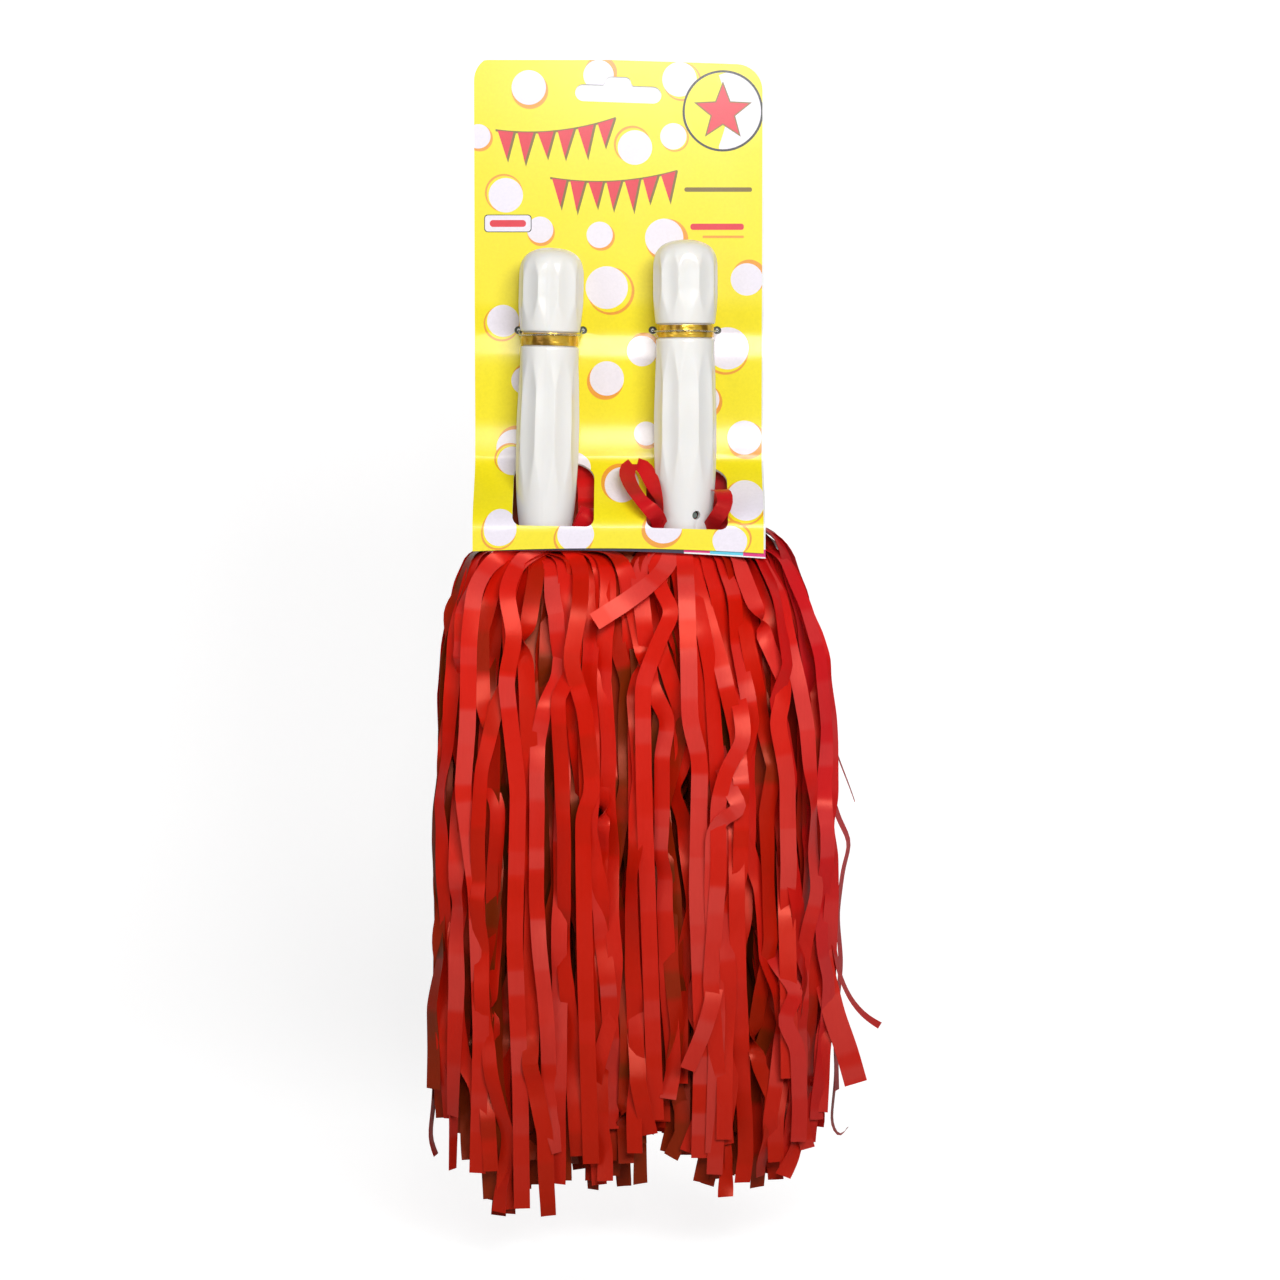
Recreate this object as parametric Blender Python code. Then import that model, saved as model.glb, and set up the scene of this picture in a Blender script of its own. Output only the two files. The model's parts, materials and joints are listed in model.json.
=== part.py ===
"""Carded pair of cheer streamer pom poms.

Two plastic baton handles with hanging bunches of red film streamers, tied to a
two-layer die-cut hang card.  Sizes are in millimetres; meshes are made in
metres.  X is to the right, the printed front faces -Y, +Z is up.  The origin is
the seat of the euro hang slot, in the plane of the card's back.
"""
import math
import random

import bmesh
import bpy
from mathutils import Vector

MM = 0.001

# ---------------------------------------------------------------- pair
# x, neck_z: neck centre.  lean: degrees about Y, positive puts the foot to the left.
# pin: degrees round from the front.  window: centre x, top, bottom.
# outer_edge: x of the tassel's outer side.  ends: lowest and highest streamer ends.
POMS = {
    "left": dict(sign=-1, x=-25.2, neck_z=-96.8, lean=1.5, pin=86.0, tie_z=-95.2,
                 window=(-25.4, -142.0, -163.6), outer_edge=-54.0, ends=(-418.0, -388.0), seed=11),
    "right": dict(sign=1, x=24.8, neck_z=-93.8, lean=0.0, pin=24.0, tie_z=-93.8,
                  window=(25.2, -143.6, -165.4), outer_edge=65.6, ends=(-409.0, -383.0), seed=23),
}
AXIS_Y = -13.6            # both handles' axes at the neck

# ---------------------------------------------------------------- finishes
FRONT_CARD_FINISH = dict(colour=(0.95, 0.85, 0.02), roughness=0.35)
BACK_CARD_FINISH = dict(colour=(0.9, 0.9, 0.88), roughness=0.35)
SHELL_FINISH = dict(colour=(0.86, 0.85, 0.8), roughness=0.22)
BAND_FINISH = dict(colour=(0.83, 0.56, 0.16), roughness=0.12, metallic=1.0)
ROOT_FINISH = dict(colour=(0.72, 0.02, 0.02), roughness=0.45)
PIN_FINISH = dict(colour=(0.8, 0.8, 0.76), roughness=0.4)
WIRE_FINISH = dict(colour=(0.55, 0.55, 0.57), roughness=0.35, metallic=1.0)
TIE_FINISH = dict(colour=(0.85, 0.87, 0.88), roughness=0.15)
SHOULDER_FINISH = dict(colour=(0.7, 0.02, 0.02), roughness=0.5)
STREAMER_FINISH = dict(colour=(0.78, 0.02, 0.015), roughness=0.4)


def paint(mesh, name, colour, roughness, metallic=0.0):
    """Give the mesh one new material."""
    material = bpy.data.materials.new(name)
    material.use_nodes = True
    shader = material.node_tree.nodes["Principled BSDF"]
    shader.inputs["Base Color"].default_value = (*colour, 1.0)
    shader.inputs["Roughness"].default_value = roughness
    shader.inputs["Metallic"].default_value = metallic
    material.diffuse_color = (*colour, 1.0)
    mesh.materials.clear()
    mesh.materials.append(material)


# ---------------------------------------------------------------- mesh helpers
SHARP_ANGLE = 35          # degrees
SHELL_SHARP_ANGLE = 40


def add_object(name, mesh, parent=None):
    ob = bpy.data.objects.new(name, mesh)
    bpy.context.scene.collection.objects.link(ob)
    ob.parent = parent
    return ob


def shade(mesh, sharp_angle):
    mesh.shade_smooth()
    mesh.set_sharp_from_angle(angle=math.radians(sharp_angle))


def finish_bmesh(bm, name, smooth=False):
    """Turn the normals outward and make a mesh datablock."""
    bmesh.ops.recalc_face_normals(bm, faces=bm.faces)
    mesh = bpy.data.meshes.new(name)
    bm.to_mesh(mesh)
    bm.free()
    if smooth:
        shade(mesh, SHARP_ANGLE)
    return mesh


def add_ring(bm, points):
    """One vertex for each point given in millimetres."""
    return [bm.verts.new((x * MM, y * MM, z * MM)) for x, y, z in points]


def join_rings(bm, ring, following):
    """Quads between two rings of the same count."""
    count = len(ring)
    for i in range(count):
        j = (i + 1) % count
        bm.faces.new((ring[i], ring[j], following[j], following[i]))


def join_levels(bm, upper, lower, segments):
    """Faces between two levels, either of which may be a single pole vertex."""
    for i in range(segments):
        j = (i + 1) % segments
        if len(upper) == 1:
            bm.faces.new((upper[0], lower[i], lower[j]))
        elif len(lower) == 1:
            bm.faces.new((upper[i], lower[0], upper[j]))
        else:
            bm.faces.new((upper[i], lower[i], lower[j], upper[j]))


def cut(ob, cutters):
    """Apply an exact boolean difference, then remove the cutters."""
    for cutter in cutters:
        mod = ob.modifiers.new("cut_" + cutter.name, "BOOLEAN")
        mod.operation = "DIFFERENCE"
        mod.solver = "EXACT"
        mod.object = cutter
    depsgraph = bpy.context.evaluated_depsgraph_get()
    depsgraph.update()
    mesh = bpy.data.meshes.new_from_object(ob.evaluated_get(depsgraph), depsgraph=depsgraph)
    ob.modifiers.clear()
    ob.data = mesh
    for cutter in cutters:
        bpy.data.objects.remove(cutter, do_unlink=True)


def prism(name, outline, y0, y1):
    """A closed prism: an XZ outline pushed along Y."""
    bm = bmesh.new()
    first = add_ring(bm, [(x, y0, z) for x, z in outline])
    last = add_ring(bm, [(x, y1, z) for x, z in outline])
    bm.faces.new(first)
    bm.faces.new(last)
    join_rings(bm, first, last)
    return add_object(name, finish_bmesh(bm, name))


def lathe(name, profile, segments, closed=False):
    """Turn a profile about Z.

    Each entry is (radius or function of angle, z); a radius of 0 is a pole.
    closed joins the last ring to the first.
    """
    bm = bmesh.new()
    angles = [2 * math.pi * i / segments for i in range(segments)]
    rings = []
    for radius, z in profile:
        if radius == 0:
            rings.append(add_ring(bm, [(0, 0, z)]))
            continue
        radii = [radius(a) if callable(radius) else radius for a in angles]
        rings.append(add_ring(bm, [(r * math.cos(a), r * math.sin(a), z)
                                   for r, a in zip(radii, angles)]))
    for upper, lower in zip(rings, rings[1:]):
        join_levels(bm, upper, lower, segments)
    if closed:
        join_levels(bm, rings[-1], rings[0], segments)
    return finish_bmesh(bm, name, smooth=True)


def circle_round(centre, across, up, radius, sides):
    """Points of a circle in the plane of two unit vectors."""
    angles = [2 * math.pi * k / sides for k in range(sides)]
    return [centre + (across * math.cos(a) + up * math.sin(a)) * radius for a in angles]


def capped_rod(name, sections, smooth):
    """A solid through a list of point rings, with flat ends."""
    bm = bmesh.new()
    rings = [add_ring(bm, section) for section in sections]
    for ring, following in zip(rings, rings[1:]):
        join_rings(bm, ring, following)
    bm.faces.new(rings[0])
    bm.faces.new(rings[-1])
    return finish_bmesh(bm, name, smooth)


def cross_rod(name, radius, half_length, angle, z, sides, chamfer=0.0):
    """A rod through the handle's axis, pointing angle degrees round from the front."""
    a = math.radians(angle)
    direction = Vector((math.sin(a), -math.cos(a), 0))
    across = Vector((math.cos(a), math.sin(a), 0))
    up = Vector((0, 0, 1))
    stations = [(-half_length, radius), (half_length, radius)]
    if chamfer:
        stations = [(-half_length, radius - chamfer), (-half_length + chamfer, radius),
                    (half_length - chamfer, radius), (half_length, radius - chamfer)]
    sections = [circle_round(direction * along + up * z, across, up, r, sides)
                for along, r in stations]
    return capped_rod(name, sections, smooth=chamfer > 0)


def round_corners(points, radius, steps):
    """A 3-D polyline with its corners rounded by quadratic curves."""
    points = [Vector(p) for p in points]
    rounded = [points[0]]
    for before, corner, after in zip(points, points[1:], points[2:]):
        back, ahead = before - corner, after - corner
        setback = min(radius, back.length * 0.45, ahead.length * 0.45)
        start = corner + back.normalized() * setback
        end = corner + ahead.normalized() * setback
        for i in range(steps + 1):
            t = i / steps
            rounded.append(start * (1 - t) ** 2 + corner * 2 * t * (1 - t) + end * t ** 2)
    rounded.append(points[-1])
    return rounded


def cord(name, points, radius, sides):
    """A round cord along a polyline that starts off square to X."""
    normal = Vector((1, 0, 0))
    directions = [(b - a).normalized() for a, b in zip(points, points[1:])]
    sections = []
    for i, point in enumerate(points):
        before = directions[max(0, i - 1)]
        after = directions[min(i, len(directions) - 1)]
        tangent = (before + after).normalized()
        normal = (normal - tangent * normal.dot(tangent)).normalized()
        sections.append(circle_round(point, normal, tangent.cross(normal), radius, sides))
    return capped_rod(name, sections, smooth=True)


# ---------------------------------------------------------------- card
CARD_W = 107.0
CARD_TOP = 6.6            # above the hook seat
CARD_CORNER_R = 9.5
BOARD_T = 0.4             # each of the two boards
BOARD_GAP = 0.3
BACK_SHIFT_X = 0.7        # the back board shows past the front one
BACK_EXTRA = 1.6          # and runs on below it
FRONT_SLOT_RISE = 0.4     # the front board's slot above the back board's
CUTTER_HALF = 3.0

SLOT_W, SLOT_H = 32.0, 6.2
HUMP_W, HUMP_H, HUMP_R = 9.6, 3.2, 2.2
HUMP_FOOT = 1.0           # sideways spread of the hump where it meets the slot
WINDOW_W, WINDOW_R = 30.0, 4.5
TIE_HOLE_R, TIE_HOLE_DX, TIE_HOLE_Z = 1.55, 12.0, -93.2

CARD_BOTTOM = -173.4
CURVE_TOP, CURVE_BOTTOM = -140.0, -166.0   # the board swings forward between these
CURVE_TOP_Y = 0.3
CURVE_STEPS = 9
STRIP_Y = -24.6           # back face at the top of the lower strip
# y, z of the card's back face above and below the curve
UPPER_PROFILE = [(0.0, CARD_TOP), (0.0, -84.0), (0.5, -100.0), (0.8, -116.0), (0.6, -130.0),
                 (CURVE_TOP_Y, CURVE_TOP)]
STRIP_PROFILE = [(STRIP_Y - 0.7, CARD_BOTTOM), (STRIP_Y - 1.0, CARD_BOTTOM - 4.0)]


def arc(cx, cz, r, start, end, steps):
    """Points on an XZ arc, angles in degrees."""
    angles = [math.radians(start + (end - start) * i / steps) for i in range(steps + 1)]
    return [(cx + r * math.cos(a), cz + r * math.sin(a)) for a in angles]


def rounded_rect(cx, top, bottom, width, r, steps=5):
    right, left = cx + width / 2 - r, cx - width / 2 + r
    return (arc(right, top - r, r, 0, 90, steps) + arc(left, top - r, r, 90, 180, steps)
            + arc(left, bottom + r, r, 180, 270, steps)
            + arc(right, bottom + r, r, 270, 360, steps))


def euro_slot(rise):
    """A long slot with round ends and a low hump in the middle of its top edge."""
    end_r = SLOT_H / 2
    top = rise - HUMP_H
    right = arc(SLOT_W / 2 - end_r, top - end_r, end_r, -90, 90, 10)
    right.append((HUMP_W / 2 + HUMP_FOOT, top))
    right += arc(HUMP_W / 2 - HUMP_R, rise - HUMP_R, HUMP_R, 0, 90, 5)
    return right + [(-x, z) for x, z in reversed(right)]


def smoothstep(u):
    u = min(1.0, max(0.0, u))
    return u * u * (3 - 2 * u)


def mix(a, b, u):
    return a + (b - a) * u


def card_profile():
    """(y, z) of the card's back face from top to bottom."""
    shares = [i / CURVE_STEPS for i in range(1, CURVE_STEPS + 1)]
    curve = [(mix(CURVE_TOP_Y, STRIP_Y, smoothstep(u)), mix(CURVE_TOP, CURVE_BOTTOM, u))
             for u in shares]
    return UPPER_PROFILE + curve + STRIP_PROFILE


def profile_normals(profile):
    """Forward mitre vectors that keep a board's thickness round each bend."""
    facing = []
    for a, b in zip(profile, profile[1:]):
        length = math.dist(a, b)
        facing.append(((b[1] - a[1]) / length, -(b[0] - a[0]) / length))
    normals = []
    for i in range(len(profile)):
        above = facing[max(0, i - 1)]
        below = facing[min(len(facing) - 1, i)]
        y, z = above[0] + below[0], above[1] + below[1]
        size = math.hypot(y, z)
        y, z = y / size, z / size
        lift = 1.0 / (y * above[0] + z * above[1])
        normals.append((y * lift, z * lift))
    return normals


PROFILE = card_profile()
NORMALS = profile_normals(PROFILE)
STATIONS = [0.0]          # distance down the sheet to each profile point
for _upper, _lower in zip(PROFILE, PROFILE[1:]):
    STATIONS.append(STATIONS[-1] + math.dist(_upper, _lower))


def bend(depth, s):
    """(y, z) on the bent card of a point s down the sheet, depth in front of its back face."""
    k = 0
    while k < len(STATIONS) - 2 and s > STATIONS[k + 1]:
        k += 1
    u = (s - STATIONS[k]) / (STATIONS[k + 1] - STATIONS[k])
    return tuple(mix(PROFILE[k][n], PROFILE[k + 1][n], u)
                 + mix(NORMALS[k][n], NORMALS[k + 1][n], u) * depth for n in (0, 1))


def sheet_z(z):
    """Height on the flat sheet of a point at height z on the bent card."""
    k = next(k for k in range(len(PROFILE) - 1) if PROFILE[k][1] >= z >= PROFILE[k + 1][1])
    u = (PROFILE[k][1] - z) / (PROFILE[k][1] - PROFILE[k + 1][1])
    return CARD_TOP - mix(STATIONS[k], STATIONS[k + 1], u)


def card_cutters(slot_rise):
    """Slot, windows and tie holes in the flat sheet."""
    outlines = [("slot_cutter", euro_slot(slot_rise))]
    for side, spec in POMS.items():
        cx, top, bottom = spec["window"]
        outlines.append((side + "_window_cutter",
                         rounded_rect(cx, sheet_z(top), sheet_z(bottom), WINDOW_W, WINDOW_R)))
        for k in (-1, 1):
            hole_x = spec["x"] + k * TIE_HOLE_DX
            outlines.append((f"{side}_tie_hole_{k}",
                             arc(hole_x, TIE_HOLE_Z, TIE_HOLE_R, 0, 337.5, 15)))
    return [prism(name, outline, -CUTTER_HALF, CUTTER_HALF) for name, outline in outlines]


def make_card(name, depth, finish, shift_x=0.0, extra=0.0, slot_rise=0.0):
    """One board: a flat die-cut blank, then bent.  depth is its back face's, forward of y = 0."""
    r = CARD_CORNER_R
    left, right = -CARD_W / 2 + shift_x, CARD_W / 2 + shift_x
    foot = sheet_z(CARD_BOTTOM) - extra
    outline = [(left, foot), (right, foot)]
    outline += arc(right - r, CARD_TOP - r, r, 0, 90, 8)
    outline += arc(left + r, CARD_TOP - r, r, 90, 180, 8)
    board = prism(name, outline, -(depth + BOARD_T), -depth)
    cut(board, card_cutters(slot_rise))

    bm = bmesh.new()
    bm.from_mesh(board.data)
    bmesh.ops.remove_doubles(bm, verts=bm.verts, dist=1e-6)
    # an edge line across the board at every bend
    for s in STATIONS[1:-1]:
        bmesh.ops.bisect_plane(bm, geom=bm.verts[:] + bm.edges[:] + bm.faces[:],
                               plane_co=(0, 0, (CARD_TOP - s) * MM), plane_no=(0, 0, 1),
                               dist=1e-7)
    for vert in bm.verts:
        x, y, z = vert.co / MM
        vert.co = Vector((x, *bend(-y, CARD_TOP - z))) * MM
    board.data = finish_bmesh(bm, name)
    paint(board.data, name, **finish)


# ---------------------------------------------------------------- handle
# Depths are measured down from the top of the cap.
GROOVE_H = 5.4            # neck groove that the tie sits in
NECK_R = 9.85
CAP_H = 31.0
NECK_BOTTOM = CAP_H + GROOVE_H
HANDLE_L = 110.0
NECK_WALL = 1.6
NECK_BORE_OVERRUN = 0.6   # the narrow bore runs past the groove at both ends
CAP_TOP_Z = CAP_H + GROOVE_H / 2   # above the neck centre
FLUTES = 10
FLUTE_DEPTH = 0.85
ROUND = 3 * FLUTES        # facets round the handle
# depths where the flutes start, reach full depth, begin to fade and end
FLUTE_RUNS = [(3.5, 11.0, 20.0, 28.5), (39.0, 54.0, 74.0, 92.0)]
# depth, radius
CAP_PROFILE = [(0.25, 3.2), (0.9, 6.0), (2.0, 8.4), (3.6, 10.1), (6.0, 11.3), (9.5, 11.9),
               (14.0, 12.05), (19.5, 12.0), (25.0, 11.6), (29.0, 11.2), (30.6, 11.0),
               (CAP_H, 10.7)]
BODY_PROFILE = [(NECK_BOTTOM, 10.4), (36.9, 10.75), (42.0, 10.8), (49.0, 11.1), (57.0, 11.45),
                (66.0, 11.7), (75.0, 11.65), (84.0, 11.3), (92.0, 10.8), (98.0, 10.1),
                (103.0, 9.3), (107.5, 8.5), (HANDLE_L, 8.1)]
# the hollow, from the mouth up; depth, radius
BORE_PROFILE = [(HANDLE_L, 6.6), (106.0, 7.2), (100.0, 8.2), (90.0, 9.3), (60.0, 9.5),
                (40.0, 9.2), (NECK_BOTTOM + NECK_BORE_OVERRUN, NECK_R - NECK_WALL),
                (CAP_H - NECK_BORE_OVERRUN, NECK_R - NECK_WALL), (26.0, 9.8), (12.0, 10.2),
                (5.5, 8.6), (2.9, 5.0), (2.2, 0)]

PIN_R, PIN_CLEAR = 1.2, 0.3
PIN_DEPTH = 101.3
PIN_HALF, PIN_CHAMFER = 8.6, 0.25
BAND_IN, BAND_OUT, BAND_H = 10.15, 10.55, 4.6
BAND_EDGE_R, BAND_EDGE_H = 0.1, 0.15       # the bevel on the band's outer edges
ROOT_R, ROOT_TOP, ROOT_BOTTOM = 6.2, 91.5, 112.0
ROOT_EDGE_R, ROOT_EDGE_H = 0.8, 0.9        # the bevel at the root's top
WIRE_DEPTH = 95.5
WIRE_R, WIRE_LOOP_R = 0.35, 5.75
WIRE_GROOVE_R = WIRE_LOOP_R - 0.7
WIRE_GROOVE_MOUTH, WIRE_GROOVE_FLOOR = 1.1, 0.6   # half heights


def flute_amount(depth):
    """How deep the flutes are at a depth, 0 to 1."""
    return max(smoothstep((depth - start) / (full - start))
               * (1 - smoothstep((depth - fade) / (end - fade)))
               for start, full, fade, end in FLUTE_RUNS)


def fluted(radius, depth, phase):
    """Radius as a function of angle."""
    amount = FLUTE_DEPTH * flute_amount(depth)

    def at(angle):
        u = ((angle - phase) * FLUTES / (2 * math.pi)) % 1.0
        return radius - amount * (1 - (2 * u - 1) ** 2)
    return at


def from_cap(profile):
    """(depth, radius) entries as (radius, z) in the neck's frame."""
    return [(radius, CAP_TOP_Z - depth) for depth, radius in profile]


def pin_cutter(name, half_length, angle, sides):
    return add_object(name, cross_rod(name, PIN_R + PIN_CLEAR, half_length, angle,
                                      CAP_TOP_Z - PIN_DEPTH, sides))


def make_shell(name, pin_angle, neck):
    """Hollow grip: domed cap, tie groove, fluted body and an open mouth."""
    phase = math.radians(pin_angle) - math.pi / 2
    cap, body = ([(depth, fluted(radius, depth, phase)) for depth, radius in profile]
                 for profile in (CAP_PROFILE, BODY_PROFILE))
    groove = [(CAP_H, NECK_R), (NECK_BOTTOM, NECK_R)]
    profile = from_cap([(0, 0)] + cap + groove + body + BORE_PROFILE)
    shell = add_object(name, lathe(name, profile, ROUND))
    cut(shell, [pin_cutter("pin_hole", 15.0, pin_angle, 14)])
    shade(shell.data, SHELL_SHARP_ANGLE)
    paint(shell.data, name, **SHELL_FINISH)
    shell.parent = neck


def make_band(name, neck):
    """Gold band round the neck groove."""
    half = BAND_H / 2
    profile = [(BAND_IN, half), (BAND_OUT - BAND_EDGE_R, half), (BAND_OUT, half - BAND_EDGE_H),
               (BAND_OUT, BAND_EDGE_H - half), (BAND_OUT - BAND_EDGE_R, -half), (BAND_IN, -half)]
    mesh = lathe(name, profile, 32, closed=True)
    paint(mesh, name, **BAND_FINISH)
    add_object(name, mesh, neck)


def make_root(name, pin_angle, neck):
    """The bound streamer root in the mouth, grooved for the wire and bored for the pin."""
    profile = from_cap([
        (ROOT_TOP, 0),
        (ROOT_TOP, ROOT_R - ROOT_EDGE_R),
        (ROOT_TOP + ROOT_EDGE_H, ROOT_R),
        (WIRE_DEPTH - WIRE_GROOVE_MOUTH, ROOT_R),
        (WIRE_DEPTH - WIRE_GROOVE_FLOOR, WIRE_GROOVE_R),
        (WIRE_DEPTH + WIRE_GROOVE_FLOOR, WIRE_GROOVE_R),
        (WIRE_DEPTH + WIRE_GROOVE_MOUTH, ROOT_R),
        (ROOT_BOTTOM, ROOT_R),
        (ROOT_BOTTOM, 0),
    ])
    root = add_object(name, lathe(name, profile, 22))
    cut(root, [pin_cutter("root_bore", 12.0, pin_angle, 12)])
    paint(root.data, name, **ROOT_FINISH)
    root.parent = neck


def make_pin(name, angle, neck):
    mesh = cross_rod(name, PIN_R, PIN_HALF, angle, CAP_TOP_Z - PIN_DEPTH, 12, PIN_CHAMFER)
    paint(mesh, name, **PIN_FINISH)
    add_object(name, mesh, neck)


def make_wire(name, neck):
    """Ring of binding wire in the root's groove."""
    angles = [2 * math.pi * k / 6 for k in range(6)]
    profile = [(WIRE_LOOP_R + WIRE_R * math.cos(a), CAP_TOP_Z - WIRE_DEPTH + WIRE_R * math.sin(a))
               for a in angles]
    mesh = lathe(name, profile, 24, closed=True)
    paint(mesh, name, **WIRE_FINISH)
    add_object(name, mesh, neck)


def make_handle(side, spec):
    """The grip and all that turns with it, on an empty at the neck, whose Z is the spin axis."""
    neck = add_object(side + "_neck_axis", None)
    neck.location = (spec["x"] * MM, AXIS_Y * MM, spec["neck_z"] * MM)
    neck.rotation_euler = (0, math.radians(spec["lean"]), 0)
    make_shell(side + "_handle_shell", spec["pin"], neck)
    make_band(side + "_gold_band", neck)
    make_root(side + "_streamer_root", spec["pin"], neck)
    make_pin(side + "_retaining_pin", spec["pin"], neck)
    make_wire(side + "_binding_wire", neck)


# ---------------------------------------------------------------- card tie
TIE_R, TIE_LOOP_R = 0.45, 11.2
TIE_LOOP_STEPS = 16
TIE_BACK_Y = 1.25         # the run behind the card
TIE_FRONT_Y = -1.6        # where the cord leaves each hole
TIE_BEND_R = 0.9
TAIL_DX = 0.85            # each tail from the handle's x
TAIL_DROP, TAIL_KICK = 10.0, 0.55          # down, and away from the card


def make_tie(name, spec):
    """Cord round the neck's front and through both card holes, tails turned down behind."""
    x = spec["x"]

    def run(k):
        """One half's corners, from the tail's tip to the front of its hole."""
        tail_x, hole_x = x + k * TAIL_DX, x + k * TIE_HOLE_DX
        return [(tail_x, TIE_BACK_Y + TAIL_KICK, TIE_HOLE_Z - TAIL_DROP),
                (tail_x, TIE_BACK_Y, TIE_HOLE_Z),
                (hole_x, TIE_BACK_Y, TIE_HOLE_Z),
                (hole_x, TIE_FRONT_Y, TIE_HOLE_Z)]

    angles = [math.pi + math.pi * i / TIE_LOOP_STEPS for i in range(TIE_LOOP_STEPS + 1)]
    loop = [Vector((x + TIE_LOOP_R * math.cos(a), AXIS_Y + TIE_LOOP_R * math.sin(a),
                    spec["tie_z"])) for a in angles]
    head = round_corners(run(-1) + [loop[0]], TIE_BEND_R, 3)
    tail = round_corners([loop[-1]] + run(1)[::-1], TIE_BEND_R, 3)
    mesh = cord(name, head + loop[1:-1] + tail, TIE_R, 6)
    paint(mesh, name, **TIE_FINISH)
    add_object(name, mesh)


# ---------------------------------------------------------------- streamers
LOCK_TOP = -185.0
CROWN_H = 3.0
PITCH = 6.3               # one streamer and its gap
STREAMER_W, STREAMER_T = 5.8, 0.5
LOCK_GAP = 0.8
FRONT_Y, BACK_Y = -34.4, 6.6
FRONT_STEP, BACK_STEP = 3.5, 4.52          # from row to row, front to back
BANK_ROWS, SIDE_ROWS = 5, 9
# lock label, streamers across; from the outer side inwards
FRONT_LOCKS = [("front_outer", 3), ("front_middle", 3), ("front_inner", 2)]
BACK_LOCKS = [("back_outer", 4), ("back_inner", 4)]
# the side lock and the front locks with their gaps
TASSEL_W = (1 + sum(cols for _, cols in FRONT_LOCKS)) * PITCH + len(FRONT_LOCKS) * LOCK_GAP

MID_X = (POMS["left"]["outer_edge"] + POMS["right"]["outer_edge"]) / 2
FLARE_RUN = (23.0, 80.0)  # start and end, as slant distances from the crown's top edge
FLARE_SHIFT_X = 7.0       # sideways drift at MID_X
FLARE_SLOPE_LEFT, FLARE_SLOPE_RIGHT = 0.356, 0.20   # more drift per mm from MID_X
FLARE_SLOPE_Y = 0.10
END_DRIFT = 0.8           # largest random sideways drift of a streamer's end

SHOULDER_START_LAP = 0.5  # below the root
SHOULDER_BOTTOM = -184.3
SHOULDER_SIDES = 28
SHOULDER_SQUARENESS = 0.35
# z, shift towards the tassel's middle (0 to 1), share of its half width, front y, back y
SHOULDER_SPREAD = [(-178.4, 0.4, 0.60, -23.6, -3.0), (-181.4, 0.75, 0.86, -30.0, 3.6)]
# height above the bottom, then insets from the tassel's sides, front and back
SHOULDER_FOOT = [(0.8, 0.6, 0.6, 0.4), (0.0, 0.9, 0.9, 0.7)]


def shoulder_ring(z, cx, half_x, front, back, squareness):
    """A ring between an ellipse (squareness 0) and a rectangle (1)."""
    points = []
    for i in range(SHOULDER_SIDES):
        a = 2 * math.pi * i / SHOULDER_SIDES
        c, s = math.cos(a), math.sin(a)
        swell = mix(1.0, 1.0 / max(abs(c), abs(s)), squareness)
        points.append((cx + half_x * c * swell,
                       (front + back) / 2 + (back - front) / 2 * s * swell, z))
    return points


def make_shoulder(name, spec):
    """The gathered streamers spreading from the mouth to the locks."""
    start = spec["neck_z"] + CAP_TOP_Z - ROOT_BOTTOM - SHOULDER_START_LAP
    mouth_x = spec["x"] - math.tan(math.radians(spec["lean"])) * (spec["neck_z"] - start)
    half = TASSEL_W / 2
    mid = spec["outer_edge"] - spec["sign"] * half
    square = SHOULDER_SQUARENESS
    sections = [shoulder_ring(start, mouth_x, ROOT_R, AXIS_Y - ROOT_R, AXIS_Y + ROOT_R, 0.0)]
    for z, shift, share, front, back in SHOULDER_SPREAD:
        sections.append(shoulder_ring(z, mix(mouth_x, mid, shift), half * share,
                                      front, back, square))
    for rise, side_inset, front_inset, back_inset in SHOULDER_FOOT:
        sections.append(shoulder_ring(SHOULDER_BOTTOM + rise, mid, half - side_inset,
                                      FRONT_Y + front_inset, BACK_Y - back_inset, square))
    bm = bmesh.new()
    rings = [add_ring(bm, section) for section in sections]
    for upper, lower in zip(rings, rings[1:]):
        join_levels(bm, upper, lower, SHOULDER_SIDES)
    bm.faces.new(rings[0])
    bm.faces.new(rings[-1])
    mesh = finish_bmesh(bm, name)
    paint(mesh, name, **SHOULDER_FINISH)
    add_object(name, mesh)


def flare(x, y):
    """How far a streamer has drifted in x and y by the end of its flare."""
    slope = FLARE_SLOPE_LEFT if x < MID_X else FLARE_SLOPE_RIGHT
    return FLARE_SHIFT_X + (x - MID_X) * slope, FLARE_SLOPE_Y * (y - AXIS_Y)


def grid_lines(start, count, pitch, size):
    """Both edges of every streamer along one axis, between the crown's two sides."""
    gap = (pitch - size) / 2
    lines = [start]
    for n in range(count):
        lines += [start + n * pitch + gap, start + (n + 1) * pitch - gap]
    return lines + [start + count * pitch]


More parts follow.
